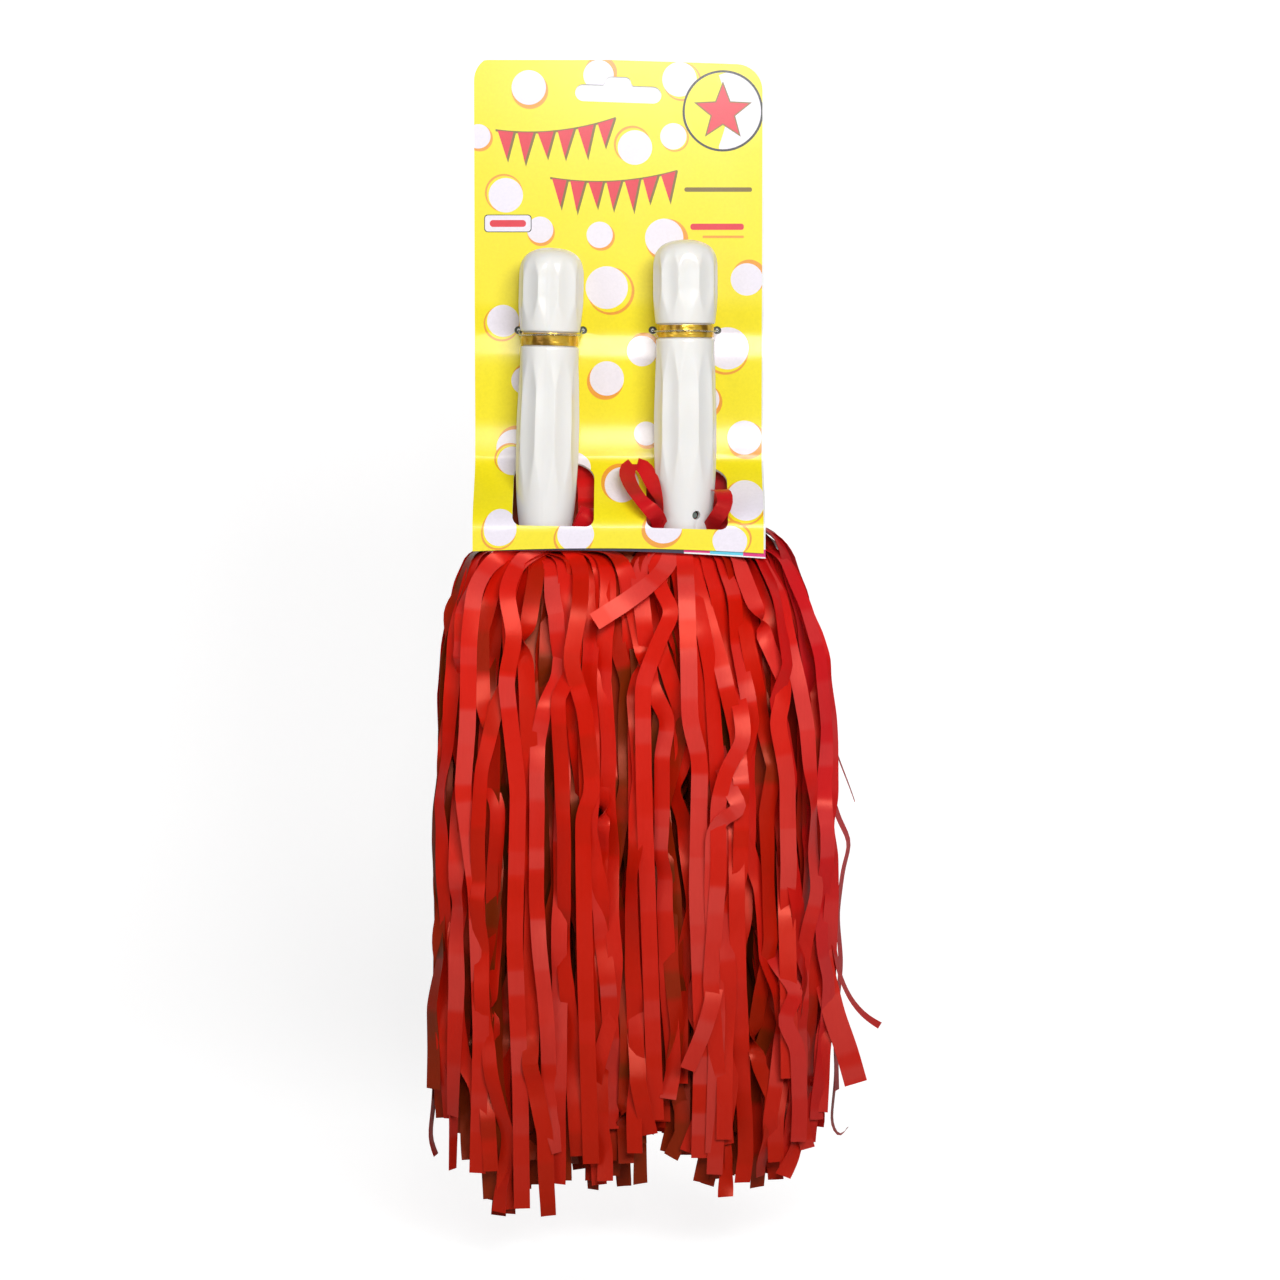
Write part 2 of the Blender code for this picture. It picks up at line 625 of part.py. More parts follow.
def make_lock(name, pivot, x0, cols, y0, rows, step, ends, rng):
    """Strips hanging from a gathered crown, as one closed body.

    x0 is the crown's low-X side, y0 its front side, pivot the object's origin (x, y).
    """
    xs = grid_lines(x0, cols, PITCH, STREAMER_W)
    ys = grid_lines(y0, rows, step, STREAMER_T)
    px, py = pivot
    bm = bmesh.new()

    def ring_at(points, z):
        return add_ring(bm, [(x - px, y - py, z - LOCK_TOP) for x, y in points])

    # crown: plain top and sides over a gridded underside
    grid = [ring_at([(x, y) for y in ys], LOCK_TOP - CROWN_H) for x in xs]
    top = ring_at([(xs[0], ys[0]), (xs[-1], ys[0]), (xs[-1], ys[-1]), (xs[0], ys[-1])], LOCK_TOP)
    bm.faces.new(top)
    bm.faces.new([top[0], top[1]] + [column[0] for column in reversed(grid)])
    bm.faces.new([top[1], top[2]] + grid[-1][::-1])
    bm.faces.new([top[2], top[3]] + [column[-1] for column in grid])
    bm.faces.new([top[3], top[0]] + grid[0])

    for i in range(len(xs) - 1):
        for j in range(len(ys) - 1):
            cell = [(i, j), (i + 1, j), (i + 1, j + 1), (i, j + 1)]
            ring = [grid[m][n] for m, n in cell]
            if i % 2 == 0 or j % 2 == 0:   # a gap between streamers
                bm.faces.new(ring)
                continue
            cx, cy = (xs[i] + xs[i + 1]) / 2, (ys[j] + ys[j + 1]) / 2
            flare_x, flare_y = flare(cx, cy)
            end = rng.uniform(*ends)
            drift = rng.uniform(-END_DRIFT, END_DRIFT)
            # in from the pivot's face, or from the nearer face for the side lock;
            # equal drift at equal distance keeps a swung lock clear of the next one
            if py in (FRONT_Y, BACK_Y):
                inset = abs(cy - py)
            else:
                inset = min(cy - FRONT_Y, BACK_Y - cy)
            flare_top, flare_end = (LOCK_TOP - math.sqrt(run * run - inset * inset)
                                    for run in FLARE_RUN)
            for z, dx, dy in ((flare_top, 0.0, 0.0), (flare_end, flare_x, flare_y),
                              (end, flare_x + drift, flare_y)):
                lower = ring_at([(xs[m] + dx, ys[n] + dy) for m, n in cell], z)
                join_rings(bm, ring, lower)
                ring = lower
            bm.faces.new(ring)
    mesh = finish_bmesh(bm, name)
    paint(mesh, name, **STREAMER_FINISH)
    add_object(name, mesh).location = (px * MM, py * MM, LOCK_TOP * MM)


def make_streamers(side, spec):
    """A side lock down the outer edge, then a front and a back bank of locks."""
    rng = random.Random(spec["seed"])
    sign, outer = spec["sign"], spec["outer_edge"]

    def lock(label, far, cols, y0, rows, step, pivot_y, pivot_x=None):
        """Build a lock inwards from x = far; returns where the next one starts."""
        width = cols * PITCH
        x0 = far if sign < 0 else far - width
        if pivot_x is None:
            pivot_x = x0 + width / 2
        make_lock(f"{side}_streamers_{label}", (pivot_x, pivot_y), x0, cols, y0, rows, step,
                  spec["ends"], rng)
        return far - sign * (width + LOCK_GAP)

    # swings outwards about its outer top edge
    bank_start = lock("side", outer, 1, FRONT_Y, SIDE_ROWS, (BACK_Y - FRONT_Y) / SIDE_ROWS,
                      (FRONT_Y + BACK_Y) / 2, pivot_x=outer)
    for locks, y0, step, pivot_y in (
            (FRONT_LOCKS, FRONT_Y, FRONT_STEP, FRONT_Y),
            (BACK_LOCKS, BACK_Y - BANK_ROWS * BACK_STEP, BACK_STEP, BACK_Y)):
        far = bank_start
        for label, cols in locks:
            far = lock(label, far, cols, y0, BANK_ROWS, step, pivot_y)


# ---------------------------------------------------------------- build
for _ob in list(bpy.data.objects):
    bpy.data.objects.remove(_ob, do_unlink=True)

make_card("front_card", BOARD_T + BOARD_GAP, FRONT_CARD_FINISH, slot_rise=FRONT_SLOT_RISE)
make_card("back_card", 0.0, BACK_CARD_FINISH, shift_x=BACK_SHIFT_X, extra=BACK_EXTRA)
for _side, _spec in POMS.items():
    make_handle(_side, _spec)
    make_tie(_side + "_card_tie", _spec)
    make_shoulder(_side + "_streamer_shoulder", _spec)
    make_streamers(_side, _spec)
bpy.context.view_layer.update()
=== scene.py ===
"""Carded pair of cheer streamer pom poms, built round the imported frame.

The card stands upright across X with its printed face towards -Y; its lower strip bends forward.
Two handles hang in front of it, are tied to it with clear cord and pass down through its windows.
A tassel of film strips falls from each handle's open foot.  Lengths are in millimetres unless
noted; z falls from about 0 near the card's top.
"""
import json
import math
import random

import bmesh
import bpy
import numpy as np
from mathutils import Matrix, Vector
from mathutils.geometry import delaunay_2d_cdt


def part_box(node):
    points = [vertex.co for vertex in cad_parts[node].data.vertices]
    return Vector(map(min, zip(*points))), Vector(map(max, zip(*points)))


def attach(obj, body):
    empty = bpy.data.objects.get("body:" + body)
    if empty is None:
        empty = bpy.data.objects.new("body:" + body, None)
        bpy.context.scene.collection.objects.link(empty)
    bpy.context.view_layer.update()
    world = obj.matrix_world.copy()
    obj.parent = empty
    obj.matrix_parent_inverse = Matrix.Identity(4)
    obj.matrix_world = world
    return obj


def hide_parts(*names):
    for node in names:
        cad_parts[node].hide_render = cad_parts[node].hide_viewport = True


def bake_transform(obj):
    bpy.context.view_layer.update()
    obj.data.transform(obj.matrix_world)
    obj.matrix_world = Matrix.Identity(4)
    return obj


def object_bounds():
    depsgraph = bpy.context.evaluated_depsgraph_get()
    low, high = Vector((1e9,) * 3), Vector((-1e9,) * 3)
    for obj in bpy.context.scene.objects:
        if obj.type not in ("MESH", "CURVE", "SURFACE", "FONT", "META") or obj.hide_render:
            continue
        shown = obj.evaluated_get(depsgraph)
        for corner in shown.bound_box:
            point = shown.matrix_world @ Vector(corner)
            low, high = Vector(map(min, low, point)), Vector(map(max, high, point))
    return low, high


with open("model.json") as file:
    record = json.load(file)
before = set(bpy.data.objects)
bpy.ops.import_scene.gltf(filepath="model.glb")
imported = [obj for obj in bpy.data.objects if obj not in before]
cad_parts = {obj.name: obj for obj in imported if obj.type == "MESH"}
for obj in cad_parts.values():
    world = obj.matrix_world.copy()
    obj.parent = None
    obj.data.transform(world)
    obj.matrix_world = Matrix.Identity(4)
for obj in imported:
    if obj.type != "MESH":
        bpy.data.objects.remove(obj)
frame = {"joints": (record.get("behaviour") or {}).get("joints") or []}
CAD_BOX = [list(corner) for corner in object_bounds()]
MM = 0.001
SIDES = ("left", "right")
JOINTS = {joint["name"]: joint for joint in frame["joints"]}

# ---------------------------------------------------------------- sizes shared by several pieces
card_low, card_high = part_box("front_card")
CARD_LEFT, CARD_RIGHT, CARD_TOP = card_low[0] * 1000, card_high[0] * 1000, card_high[2] * 1000

CAP_HEIGHT, GROOVE_HEIGHT, HANDLE_LENGTH = 31.0, 5.4, 110.0
HANDLE_TOP = CAP_HEIGHT + GROOVE_HEIGHT / 2     # above the spin joint, which is mid-groove
HANDLE_POS, HANDLE_AXIS, MOUTH = {}, {}, {}
for side in SIDES:
    joint = JOINTS[side + "_handle_spin"]
    HANDLE_POS[side] = np.array(joint["pos_m"]) * 1000
    HANDLE_AXIS[side] = np.array(joint["axis"], float) / np.linalg.norm(joint["axis"])
    MOUTH[side] = HANDLE_POS[side] + HANDLE_AXIS[side] * (HANDLE_TOP - HANDLE_LENGTH)


def smooth(u):
    u = np.clip(u, 0.0, 1.0)
    return u * u * (3 - 2 * u)


def seeded(*key):
    """A random generator seeded by the FNV hash of its key."""
    value = 2166136261
    for letter in "/".join(str(part) for part in key):
        value = ((value ^ ord(letter)) * 16777619) % (2 ** 32)
    return np.random.default_rng(value)


# ---------------------------------------------------------------- materials
def scaled(colour, factor):
    return tuple(c * factor for c in colour)


class Shader:
    """A Principled material, with short calls for the nodes that feed it."""

    def __init__(self, name):
        self.material = bpy.data.materials.new(name)
        self.material.use_nodes = True
        tree = self.material.node_tree
        self.nodes, self.link = tree.nodes, tree.links.new
        self.principled = self.nodes["Principled BSDF"]
        self.surface = self.nodes["Material Output"].inputs["Surface"]
        self.texture_coord = None

    def node(self, kind):
        return self.nodes.new("ShaderNode" + kind)

    def feed(self, socket, value):
        """Give a socket a link, a number or an RGB colour."""
        if isinstance(value, bpy.types.NodeSocket):
            self.link(value, socket)
        elif isinstance(value, (int, float)):
            socket.default_value = value
        else:
            socket.default_value = (*value, 1.0)

    def set(self, **values):
        for key, value in values.items():
            self.feed(self.principled.inputs[key.replace("_", " ")], value)

    def coords(self, scale=(1, 1, 1)):
        if self.texture_coord is None:
            self.texture_coord = self.node("TexCoord")
        mapping = self.node("Mapping")
        mapping.inputs["Scale"].default_value = scale
        self.link(self.texture_coord.outputs["Object"], mapping.inputs["Vector"])
        return mapping.outputs["Vector"]

    def height(self):
        """Object z, in metres."""
        split = self.node("SeparateXYZ")
        self.link(self.coords(), split.inputs[0])
        return split.outputs["Z"]

    def noise(self, scale, detail=3.0, roughness=0.55, stretch=(1, 1, 1), distortion=0.0):
        noise = self.node("TexNoise")
        noise.inputs["Scale"].default_value = scale
        noise.inputs["Detail"].default_value = detail
        noise.inputs["Roughness"].default_value = roughness
        noise.inputs["Distortion"].default_value = distortion
        self.link(self.coords(stretch), noise.inputs["Vector"])
        return noise.outputs["Fac"]

    def ramp(self, factor, *stops):
        """stops: (position, colour)."""
        ramp = self.node("ValToRGB")
        elements = ramp.color_ramp.elements
        while len(elements) < len(stops):
            elements.new(0.5)
        for element, (position, colour) in zip(elements, stops):
            element.position = position
            element.color = (*colour, 1.0)
        self.link(factor, ramp.inputs["Fac"])
        return ramp.outputs["Color"]

    def remap(self, value, to_min, to_max, from_min=0.0, from_max=1.0):
        remap = self.node("MapRange")
        remap.inputs["From Min"].default_value = from_min
        remap.inputs["From Max"].default_value = from_max
        remap.inputs["To Min"].default_value = to_min
        remap.inputs["To Max"].default_value = to_max
        self.link(value, remap.inputs["Value"])
        return remap.outputs["Result"]

    def mix(self, factor, a, b):
        mix = self.node("Mix")
        mix.data_type = "RGBA"
        for index, value in ((0, factor), (6, a), (7, b)):
            self.feed(mix.inputs[index], value)
        return mix.outputs[2]

    def math(self, operation, a, b):
        node = self.node("Math")
        node.operation = operation
        self.feed(node.inputs[0], a)
        self.feed(node.inputs[1], b)
        return node.outputs[0]

    def bump(self, height, strength, distance):
        bump = self.node("Bump")
        bump.inputs["Strength"].default_value = strength
        bump.inputs["Distance"].default_value = distance
        self.link(height, bump.inputs["Height"])
        self.link(bump.outputs["Normal"], self.principled.inputs["Normal"])
        return bump.outputs["Normal"]

    def blend_surface(self, factor, first, second):
        mix = self.node("MixShader")
        self.feed(mix.inputs[0], factor)
        self.link(first.outputs[0], mix.inputs[1])
        self.link(second.outputs[0], mix.inputs[2])
        self.link(mix.outputs[0], self.surface)


def ink(name, colour, roughness=0.42):
    """Ink under a gloss varnish on board: faint mottle, uneven gloss, paper fibre."""
    m = Shader(name)
    light = tuple(min(1.0, c * 1.02 + 0.002) for c in colour)
    mottle = m.noise(900, detail=4, roughness=0.6)
    m.set(Base_Color=m.ramp(mottle, (0.3, scaled(colour, 0.955)), (0.7, light)),
          Roughness=m.remap(m.noise(160), roughness - 0.04, roughness + 0.08),
          Specular_IOR_Level=0.35, Coat_Weight=0.55,
          Coat_Roughness=m.remap(m.noise(90), 0.17, 0.25))
    m.bump(m.noise(1500, detail=5, roughness=0.6), strength=0.10, distance=0.00005)
    return m.material


def raw_board(name, colour):
    """Uncoated board: fibres and a soft cloudiness."""
    m = Shader(name)
    fibre = m.noise(1200, detail=6, roughness=0.7, stretch=(1, 1, 0.25), distortion=0.6)
    base = m.ramp(fibre, (0.25, scaled(colour, 0.9)), (0.75, colour))
    cloud = m.remap(m.noise(60, detail=2), 0.0, 0.35)
    m.set(Base_Color=m.mix(cloud, base, scaled(colour, 0.93)),
          Roughness=m.remap(fibre, 0.52, 0.7))
    m.bump(fibre, strength=0.25, distance=0.00012)
    return m.material


def handle_plastic():
    """Warm white glossy plastic: cloudy, with faint darker upright streaks of painted shade for the
    flutes, and a greyer foot.
    """
    m = Shader("handle_plastic")
    cloud = m.noise(45, roughness=0.5)
    streak = m.noise(240, roughness=0.5, stretch=(1, 1, 0.06))
    foot = m.remap(m.height(), 1.0, 0.0, from_min=-0.172, from_max=-0.120)
    base = m.ramp(cloud, (0.25, (0.870, 0.845, 0.800)), (0.75, (0.910, 0.890, 0.850)))
    # painted shade: darker upright streaks stand in for the shading of the flutes
    base = m.mix(m.remap(streak, 0.0, 0.18), base, (0.82, 0.80, 0.77))
    base = m.mix(m.math("MULTIPLY", foot, 0.36), base, (0.74, 0.735, 0.76))
    m.set(Base_Color=base, Roughness=m.remap(m.noise(120, detail=4), 0.17, 0.27),
          Specular_IOR_Level=0.5, Subsurface_Weight=0.22, Subsurface_Scale=0.004,
          Coat_Weight=0.12, Coat_Roughness=0.12)
    m.principled.inputs["Subsurface Radius"].default_value = (1.0, 0.8, 0.6)
    height = m.math("ADD", m.math("MULTIPLY", streak, 0.6),
                    m.math("MULTIPLY", m.noise(300, detail=4), 0.4))
    m.bump(height, strength=0.10, distance=0.00025)
    return m.material


def gold_foil():
    """Bright gold foil with fine wrinkles; its darker, browner specks and blotches are painted
    reflections.
    """
    m = Shader("gold_foil")
    # painted reflection: darker and brighter gold by turns stands in for the surroundings mirrored in
    # the foil
    painted_reflection_mottle = m.noise(420, detail=4, roughness=0.6)
    base = m.ramp(painted_reflection_mottle, (0.30, (0.62, 0.30, 0.02)), (0.42, (0.93, 0.54, 0.04)),
                  (0.75, (0.99, 0.70, 0.12)))
    # painted reflection: nearly black-brown blotches stand in for dark surroundings mirrored in the
    # foil
    dark_reflection_blot = m.noise(150, detail=2, roughness=0.5, stretch=(1, 1, 0.5))
    base = m.mix(m.remap(dark_reflection_blot, 0.85, 0.0, from_min=0.36, from_max=0.47), base,
                 (0.20, 0.085, 0.010))
    m.set(Base_Color=base, Metallic=0.58, Roughness=m.remap(m.noise(700), 0.13, 0.28))
    m.bump(m.noise(260, roughness=0.5, stretch=(1, 1, 2.6)), strength=0.45, distance=0.0004)
    return m.material


def grained(name, noise, dark, light, roughness, bump, **extra):
    """A material whose tone, roughness and relief all follow one grain.

    roughness: (low, high); bump: (strength, distance).
    """
    m = Shader(name)
    grain = m.noise(**noise)
    m.set(Base_Color=m.ramp(grain, (0.3, dark), (0.7, light)),
          Roughness=m.remap(grain, *roughness), **extra)
    m.bump(grain, *bump)
    return m.material


def streamer_film():
    """Red film: drawn streaks, small crinkles, satin skin, some light let through, and painted light
    and shade carried in the tone.
    """
    m = Shader("streamer_film")
    streak = m.noise(1500, stretch=(1, 1, 0.02))
    cloud = m.noise(42, roughness=0.5, stretch=(1, 1, 0.6))
    crinkle = m.noise(230, roughness=0.5, stretch=(1, 1, 0.55), distortion=0.3)

    def attribute(key):
        node = m.node("Attribute")
        node.attribute_name = key
        return node.outputs["Fac"]

    tone = m.math("ADD", m.math("MULTIPLY", attribute("strip_tone"), 0.88),
                  m.math("MULTIPLY", cloud, 0.12))
    # painted light and shade: the dark brown low stops shade the inner strips, the pink top stop is a
    # painted highlight
    base = m.ramp(tone, (0.06, (0.080, 0.032, 0.003)), (0.24, (0.21, 0.026, 0.002)),
                  (0.46, (0.56, 0.012, 0.002)), (0.68, (0.79, 0.010, 0.002)),
                  (0.86, (0.84, 0.019, 0.011)), (0.99, (0.86, 0.068, 0.056)))
    base = m.mix(m.math("MULTIPLY", attribute("strip_hue"), 0.8), base, (0.78, 0.009, 0.040))
    base = m.mix(m.remap(streak, 0.0, 0.20), base, (0.45, 0.003, 0.002))
    # painted shade: the film darkens towards the tassels' lower ends, as if lit from above
    painted_low_shade = m.remap(m.height(), 0.60, 0.0, from_min=-0.43, from_max=-0.21)
    base = m.mix(painted_low_shade, base, (0.26, 0.014, 0.003))
    m.set(Base_Color=base, Roughness=m.remap(cloud, 0.28, 0.38, from_min=0.3, from_max=0.7),
          Specular_IOR_Level=0.68, Specular_Tint=(1.0, 0.25, 0.17))
    height = m.math("ADD", m.math("MULTIPLY", streak, 0.2), crinkle)
    normal = m.bump(height, strength=0.16, distance=0.0005)
    glow = m.node("BsdfTranslucent")
    m.link(m.mix(0.35, base, (0.90, 0.03, 0.006)), glow.inputs["Color"])
    m.link(normal, glow.inputs["Normal"])
    m.blend_surface(0.18, m.principled, glow)
    return m.material


INK = {
    "yellow": ink("ink_yellow", (0.915, 0.775, 0.006)),
    "white": ink("ink_dot_white", (0.84, 0.79, 0.88)),
    "orange": ink("ink_orange", (0.84, 0.34, 0.03)),
    "red": ink("ink_red", (0.74, 0.02, 0.045)),
    "olive": ink("ink_olive", (0.20, 0.13, 0.012)),
    "black": ink("ink_black", (0.012, 0.014, 0.014)),
    "magenta": ink("ink_magenta", (0.72, 0.015, 0.20)),
    "cyan": ink("ink_cyan", (0.10, 0.62, 0.80)),
    # painted shadow: a dark band along the back board's foot, the shadow under the front board's edge
    "painted_foot_shadow": ink("ink_painted_foot_shadow", (0.035, 0.025, 0.06)),
    # painted shade: dark grey rims on the back board make the cord holes read dark
    "painted_hole_shade": ink("board_hole_painted_shade", (0.085, 0.10, 0.085), roughness=0.5),
    "plain": ink("board_plain_white", (0.86, 0.86, 0.86), roughness=0.4),
    "core": raw_board("board_core", (0.78, 0.77, 0.74)),
}
HANDLE_PLASTIC = handle_plastic()
GOLD_FOIL = gold_foil()
CLEAR_CORD = grained("clear_cord", dict(scale=500, roughness=0.5), (0.62, 0.66, 0.62),
                     (0.80, 0.83, 0.80), roughness=(0.10, 0.22), bump=(0.1, 0.00005),
                     Transmission_Weight=0.85, IOR=1.42)
PIN_PLASTIC = grained("pin_plastic", dict(scale=700, detail=4), (0.10, 0.13, 0.11),
                      (0.16, 0.19, 0.17), roughness=(0.35, 0.5), bump=(0.2, 0.0001))
WIRE_STEEL = grained("wire_steel", dict(scale=900, detail=4, roughness=0.6, stretch=(1, 1, 0.2)),
                     (0.45, 0.45, 0.47), (0.66, 0.66, 0.68), roughness=(0.22, 0.42),
                     bump=(0.15, 0.00005), Metallic=1.0)
FILM = streamer_film()


# ---------------------------------------------------------------- mesh helpers
def make_object(name, verts, faces, mats, indices=None, *, angle):
    """Smooth-shaded mesh object from millimetre vertices; edges over angle degrees are sharp."""
    mesh = bpy.data.meshes.new(name)
    mesh.from_pydata([tuple(c * MM for c in v) for v in verts], [], faces)
    for mat in mats:
        mesh.materials.append(mat)
    if indices is not None:
        mesh.polygons.foreach_set("material_index", indices)
    return finish_mesh(name, mesh, angle)


def finish_mesh(name, mesh, angle):
    mesh.update()
    mesh.shade_smooth()
    mesh.set_sharp_from_angle(angle=math.radians(angle))
    ob = bpy.data.objects.new(name, mesh)
    bpy.context.scene.collection.objects.link(ob)
    return ob


def recalc(ob):
    """Turn all faces outwards."""
    bm = bmesh.new()
    bm.from_mesh(ob.data)
    bmesh.ops.recalc_face_normals(bm, faces=bm.faces)
    bm.to_mesh(ob.data)
    bm.free()
    return ob


def hand_over(ob, body, replaced):
    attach(ob, body)
    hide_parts(replaced)


def ring_rows(rings):
    """Number the vertices of equal rings; gives the vertices, the rows and the quads between."""
    sides = len(rings[0])
    verts = [point for ring in rings for point in ring]
    rows = [list(range(i * sides, (i + 1) * sides)) for i in range(len(rings))]
    faces = []
    for p, q in zip(rows, rows[1:]):
        for k in range(sides):
            j = (k + 1) % sides
            faces.append((p[k], p[j], q[j], q[k]))
    return verts, rows, faces


def run_length(points):
    """Distance along a line at each of its points."""
    return np.concatenate([[0], np.cumsum(np.linalg.norm(np.diff(points, axis=0), axis=1))])


def resample(rows, step, least):
    """Even samples of rows that begin with x, y, z; also the distance along at each."""
    s = run_length(rows[:, :3])
    t = np.linspace(0, s[-1], max(least, int(round(s[-1] / step)) + 1))
    return np.stack([np.interp(t, s, rows[:, k]) for k in range(rows.shape[1])], 1), t


def catmull(points, step):
    """A Catmull-Rom curve through points, resampled to an even step."""
    p = np.asarray(points, float)
    p = np.vstack([2 * p[0] - p[1], p, 2 * p[-1] - p[-2]])
    t = np.linspace(0, 1, 24, endpoint=False)[:, None]
    out = []
    for i in range(1, len(p) - 2):
        p0, p1, p2, p3 = p[i - 1:i + 3]
        out.append(0.5 * (2 * p1 + (p2 - p0) * t + (2 * p0 - 5 * p1 + 4 * p2 - p3) * t ** 2
                          + (3 * p1 - p0 - 3 * p2 + p3) * t ** 3))
    return resample(np.vstack(out + [p[-2:-1]]), step, least=3)[0]


# ---------------------------------------------------------------- the card's bend
CURVE_TOP, CURVE_BOTTOM, STRIP_Y = -140.0, -166.6, -24.6    # the bend forward to the lower strip
CARD_FLAT_TO, CARD_BOTTOM = -84.0, -175.0
BOARD_THICK, BOARD_GAP = 0.4, 0.3
SHEAR, ARCH = 0.035, 1.5        # cut out of square; rise of the lower strip's middle
ARCH_HALF_WIDTH = 53.5


def card_profile():
    """(y, z) down the back of the card."""
    pts = [(0.0, CARD_TOP)]
    pts += [(0.0, z) for z in np.linspace(0.0, CARD_FLAT_TO, 22)]
    # a slight buckle between the flat part and the bend
    buckle = [(0.0, CARD_FLAT_TO), (1.1, -94.0), (0.15, -104.5), (1.45, -127.0), (0.3, CURVE_TOP)]
    for (y0, z0), (y1, z1) in zip(buckle, buckle[1:]):
        for i in range(1, 7):
            ease = (y1 - y0) * float(smooth(i / 6)) * 0.5
            pts.append((y0 + ease + (y1 - y0) * 0.5 * i / 6, z0 + (z1 - z0) * i / 6))
    for i in range(1, 37):
        u = i / 36
        pts.append((0.3 + (STRIP_Y - 0.3) * float(smooth(u)),
                    CURVE_TOP + (CURVE_BOTTOM - CURVE_TOP) * u))
    for i in range(1, 5):
        pts.append((STRIP_Y - 0.3 * i / 4, CURVE_BOTTOM + (CARD_BOTTOM - CURVE_BOTTOM) * i / 4))
    pts.append((STRIP_Y - 0.45, CARD_BOTTOM - 4.0))
    return np.array(pts)


PROFILE = card_profile()
STATION = run_length(PROFILE)       # s: distance down the sheet at each profile point
down = np.gradient(PROFILE, STATION, axis=0)
down /= np.linalg.norm(down, axis=1)[:, None]
NORMAL = np.stack([down[:, 1], -down[:, 0]], 1)     # towards the printed face


def sheet_s(z):
    """Distance down the sheet of a point at height z on the bent card."""
    return float(np.interp(-z, -PROFILE[:, 1], STATION))


FOOT_S = sheet_s(CARD_BOTTOM)


def bend_card(x, depth, s):
    """Flat sheet to bent card; depth is measured forward from the card's back."""
    s = s + SHEAR * x * (1 - 0.8 * smooth((s - (FOOT_S - 16)) / 14))
    arch = 1 - np.clip(np.abs(x) / ARCH_HALF_WIDTH, 0, 1) ** 2
    s = s - ARCH * arch * smooth((s - (FOOT_S - 12)) / 12)
    y, z = (np.interp(s, STATION, PROFILE[:, k]) for k in (0, 1))
    normal_y, normal_z = (np.interp(s, STATION, NORMAL[:, k]) for k in (0, 1))
    return x, y + normal_y * depth, z + normal_z * depth


# ---------------------------------------------------------------- flat outlines, (x, s) on the sheet
def circle(cx, cz, r, count):
    return [(cx + r * math.cos(2 * math.pi * i / count), cz + r * math.sin(2 * math.pi * i / count))
            for i in range(count)]


def arc(cx, cz, r, start, end, steps):
    """Points of an arc between two angles in degrees."""
    angles = [math.radians(start + (end - start) * i / steps) for i in range(steps + 1)]
    return [(cx + r * math.cos(a), cz + r * math.sin(a)) for a in angles]


def inside(polygon, pts):
    """Even-odd test of many points against one polygon."""
    polygon = np.asarray(polygon)
    x, y = pts[:, 0], pts[:, 1]
    hit = np.zeros(len(pts), bool)
    for (x0, y0), (x1, y1) in zip(polygon, np.roll(polygon, -1, axis=0)):
        if y0 == y1:
            continue
        hit ^= ((y < y0) != (y < y1)) & (x < (x1 - x0) * (y - y0) / (y1 - y0) + x0)
    return hit


def card_outline(shift, extra_left, extra_right):
    """Card with rounded top corners, moved in x, its foot lengthened at either side."""
    r = 9.5
    x0, x1 = CARD_LEFT + shift, CARD_RIGHT + shift
    foot_left, foot_right = FOOT_S + extra_left, FOOT_S + extra_right
    pts = [(x0, foot_left)]
    pts += [(x0, s) for s in STATION[::-1] if r < s < foot_left - 0.05]
    pts += [(x, r - z) for x, z in arc(x0 + r, 0, r, 180, 90, 12)]
    pts += [(x, r - z) for x, z in arc(x1 - r, 0, r, 90, 0, 12)]
    pts += [(x1, s) for s in STATION if r < s < foot_right - 0.05]
    pts += [(x1, foot_right)]
    pts += [(x1 + (x0 - x1) * i / 24, foot_right + (foot_left - foot_right) * i / 24)
            for i in range(1, 24)]
    return pts


def slot_outline(z):
    """Round-ended slot with a hump in the middle of its top edge; z is the hump's crown."""
    slot_width, slot_height, hump_width, hump_height = 32.0, 6.2, 9.6, 3.2
    top = z - hump_height
    r = slot_height / 2
    half = arc(slot_width / 2 - r, top - slot_height + r, r, -90, 90, 14)
    half += arc(hump_width / 2 + 1.0, top + 0.6, 0.6, 270, 210, 4)
    half += arc(2.6, z - 2.2, 2.2, 0, 90, 8)
    pts = half + [(-x, z) for x, z in reversed(half)]
    return [(x, CARD_TOP - z) for x, z in pts]


WINDOWS = {"left": (-23.9, -143.0, -165.3), "right": (25.4, -144.6, -167.0)}  # middle, top, bottom
WINDOW_WIDTH, WINDOW_TOP_R, WINDOW_BOTTOM_R = 30.0, 8.0, 3.0


def window_outline(side):
    cx, top, bottom = WINDOWS[side]
    s0, s1 = sheet_s(top) - SHEAR * cx, sheet_s(bottom) - SHEAR * cx
    half, rt, rb = WINDOW_WIDTH / 2, WINDOW_TOP_R, WINDOW_BOTTOM_R
    corners = ((cx - half + rt, s0 + rt, rt, 180, 90, 10), (cx + half - rt, s0 + rt, rt, 90, 0, 10),
               (cx + half - rb, s1 - rb, rb, 0, -90, 8), (cx - half + rb, s1 - rb, rb, -90, -180, 8))
    return [(x, s - z) for mid, s, r, start, end, steps in corners
            for x, z in arc(mid, 0, r, start, end, steps)]


TIE_Z, TIE_DX = -93.2, 12.0     # tie holes: height, and distance either side of the handle's axis


def tie_circles(r, count):
    """A circle round each of the four tie holes."""
    out = []
    for side in SIDES:
        for sign in (-1, 1):
            cx = HANDLE_POS[side][0] + sign * TIE_DX
            s = sheet_s(TIE_Z) - SHEAR * cx
            out.append([(x, s + z) for x, z in circle(cx, 0.0, r, count)])
    return out


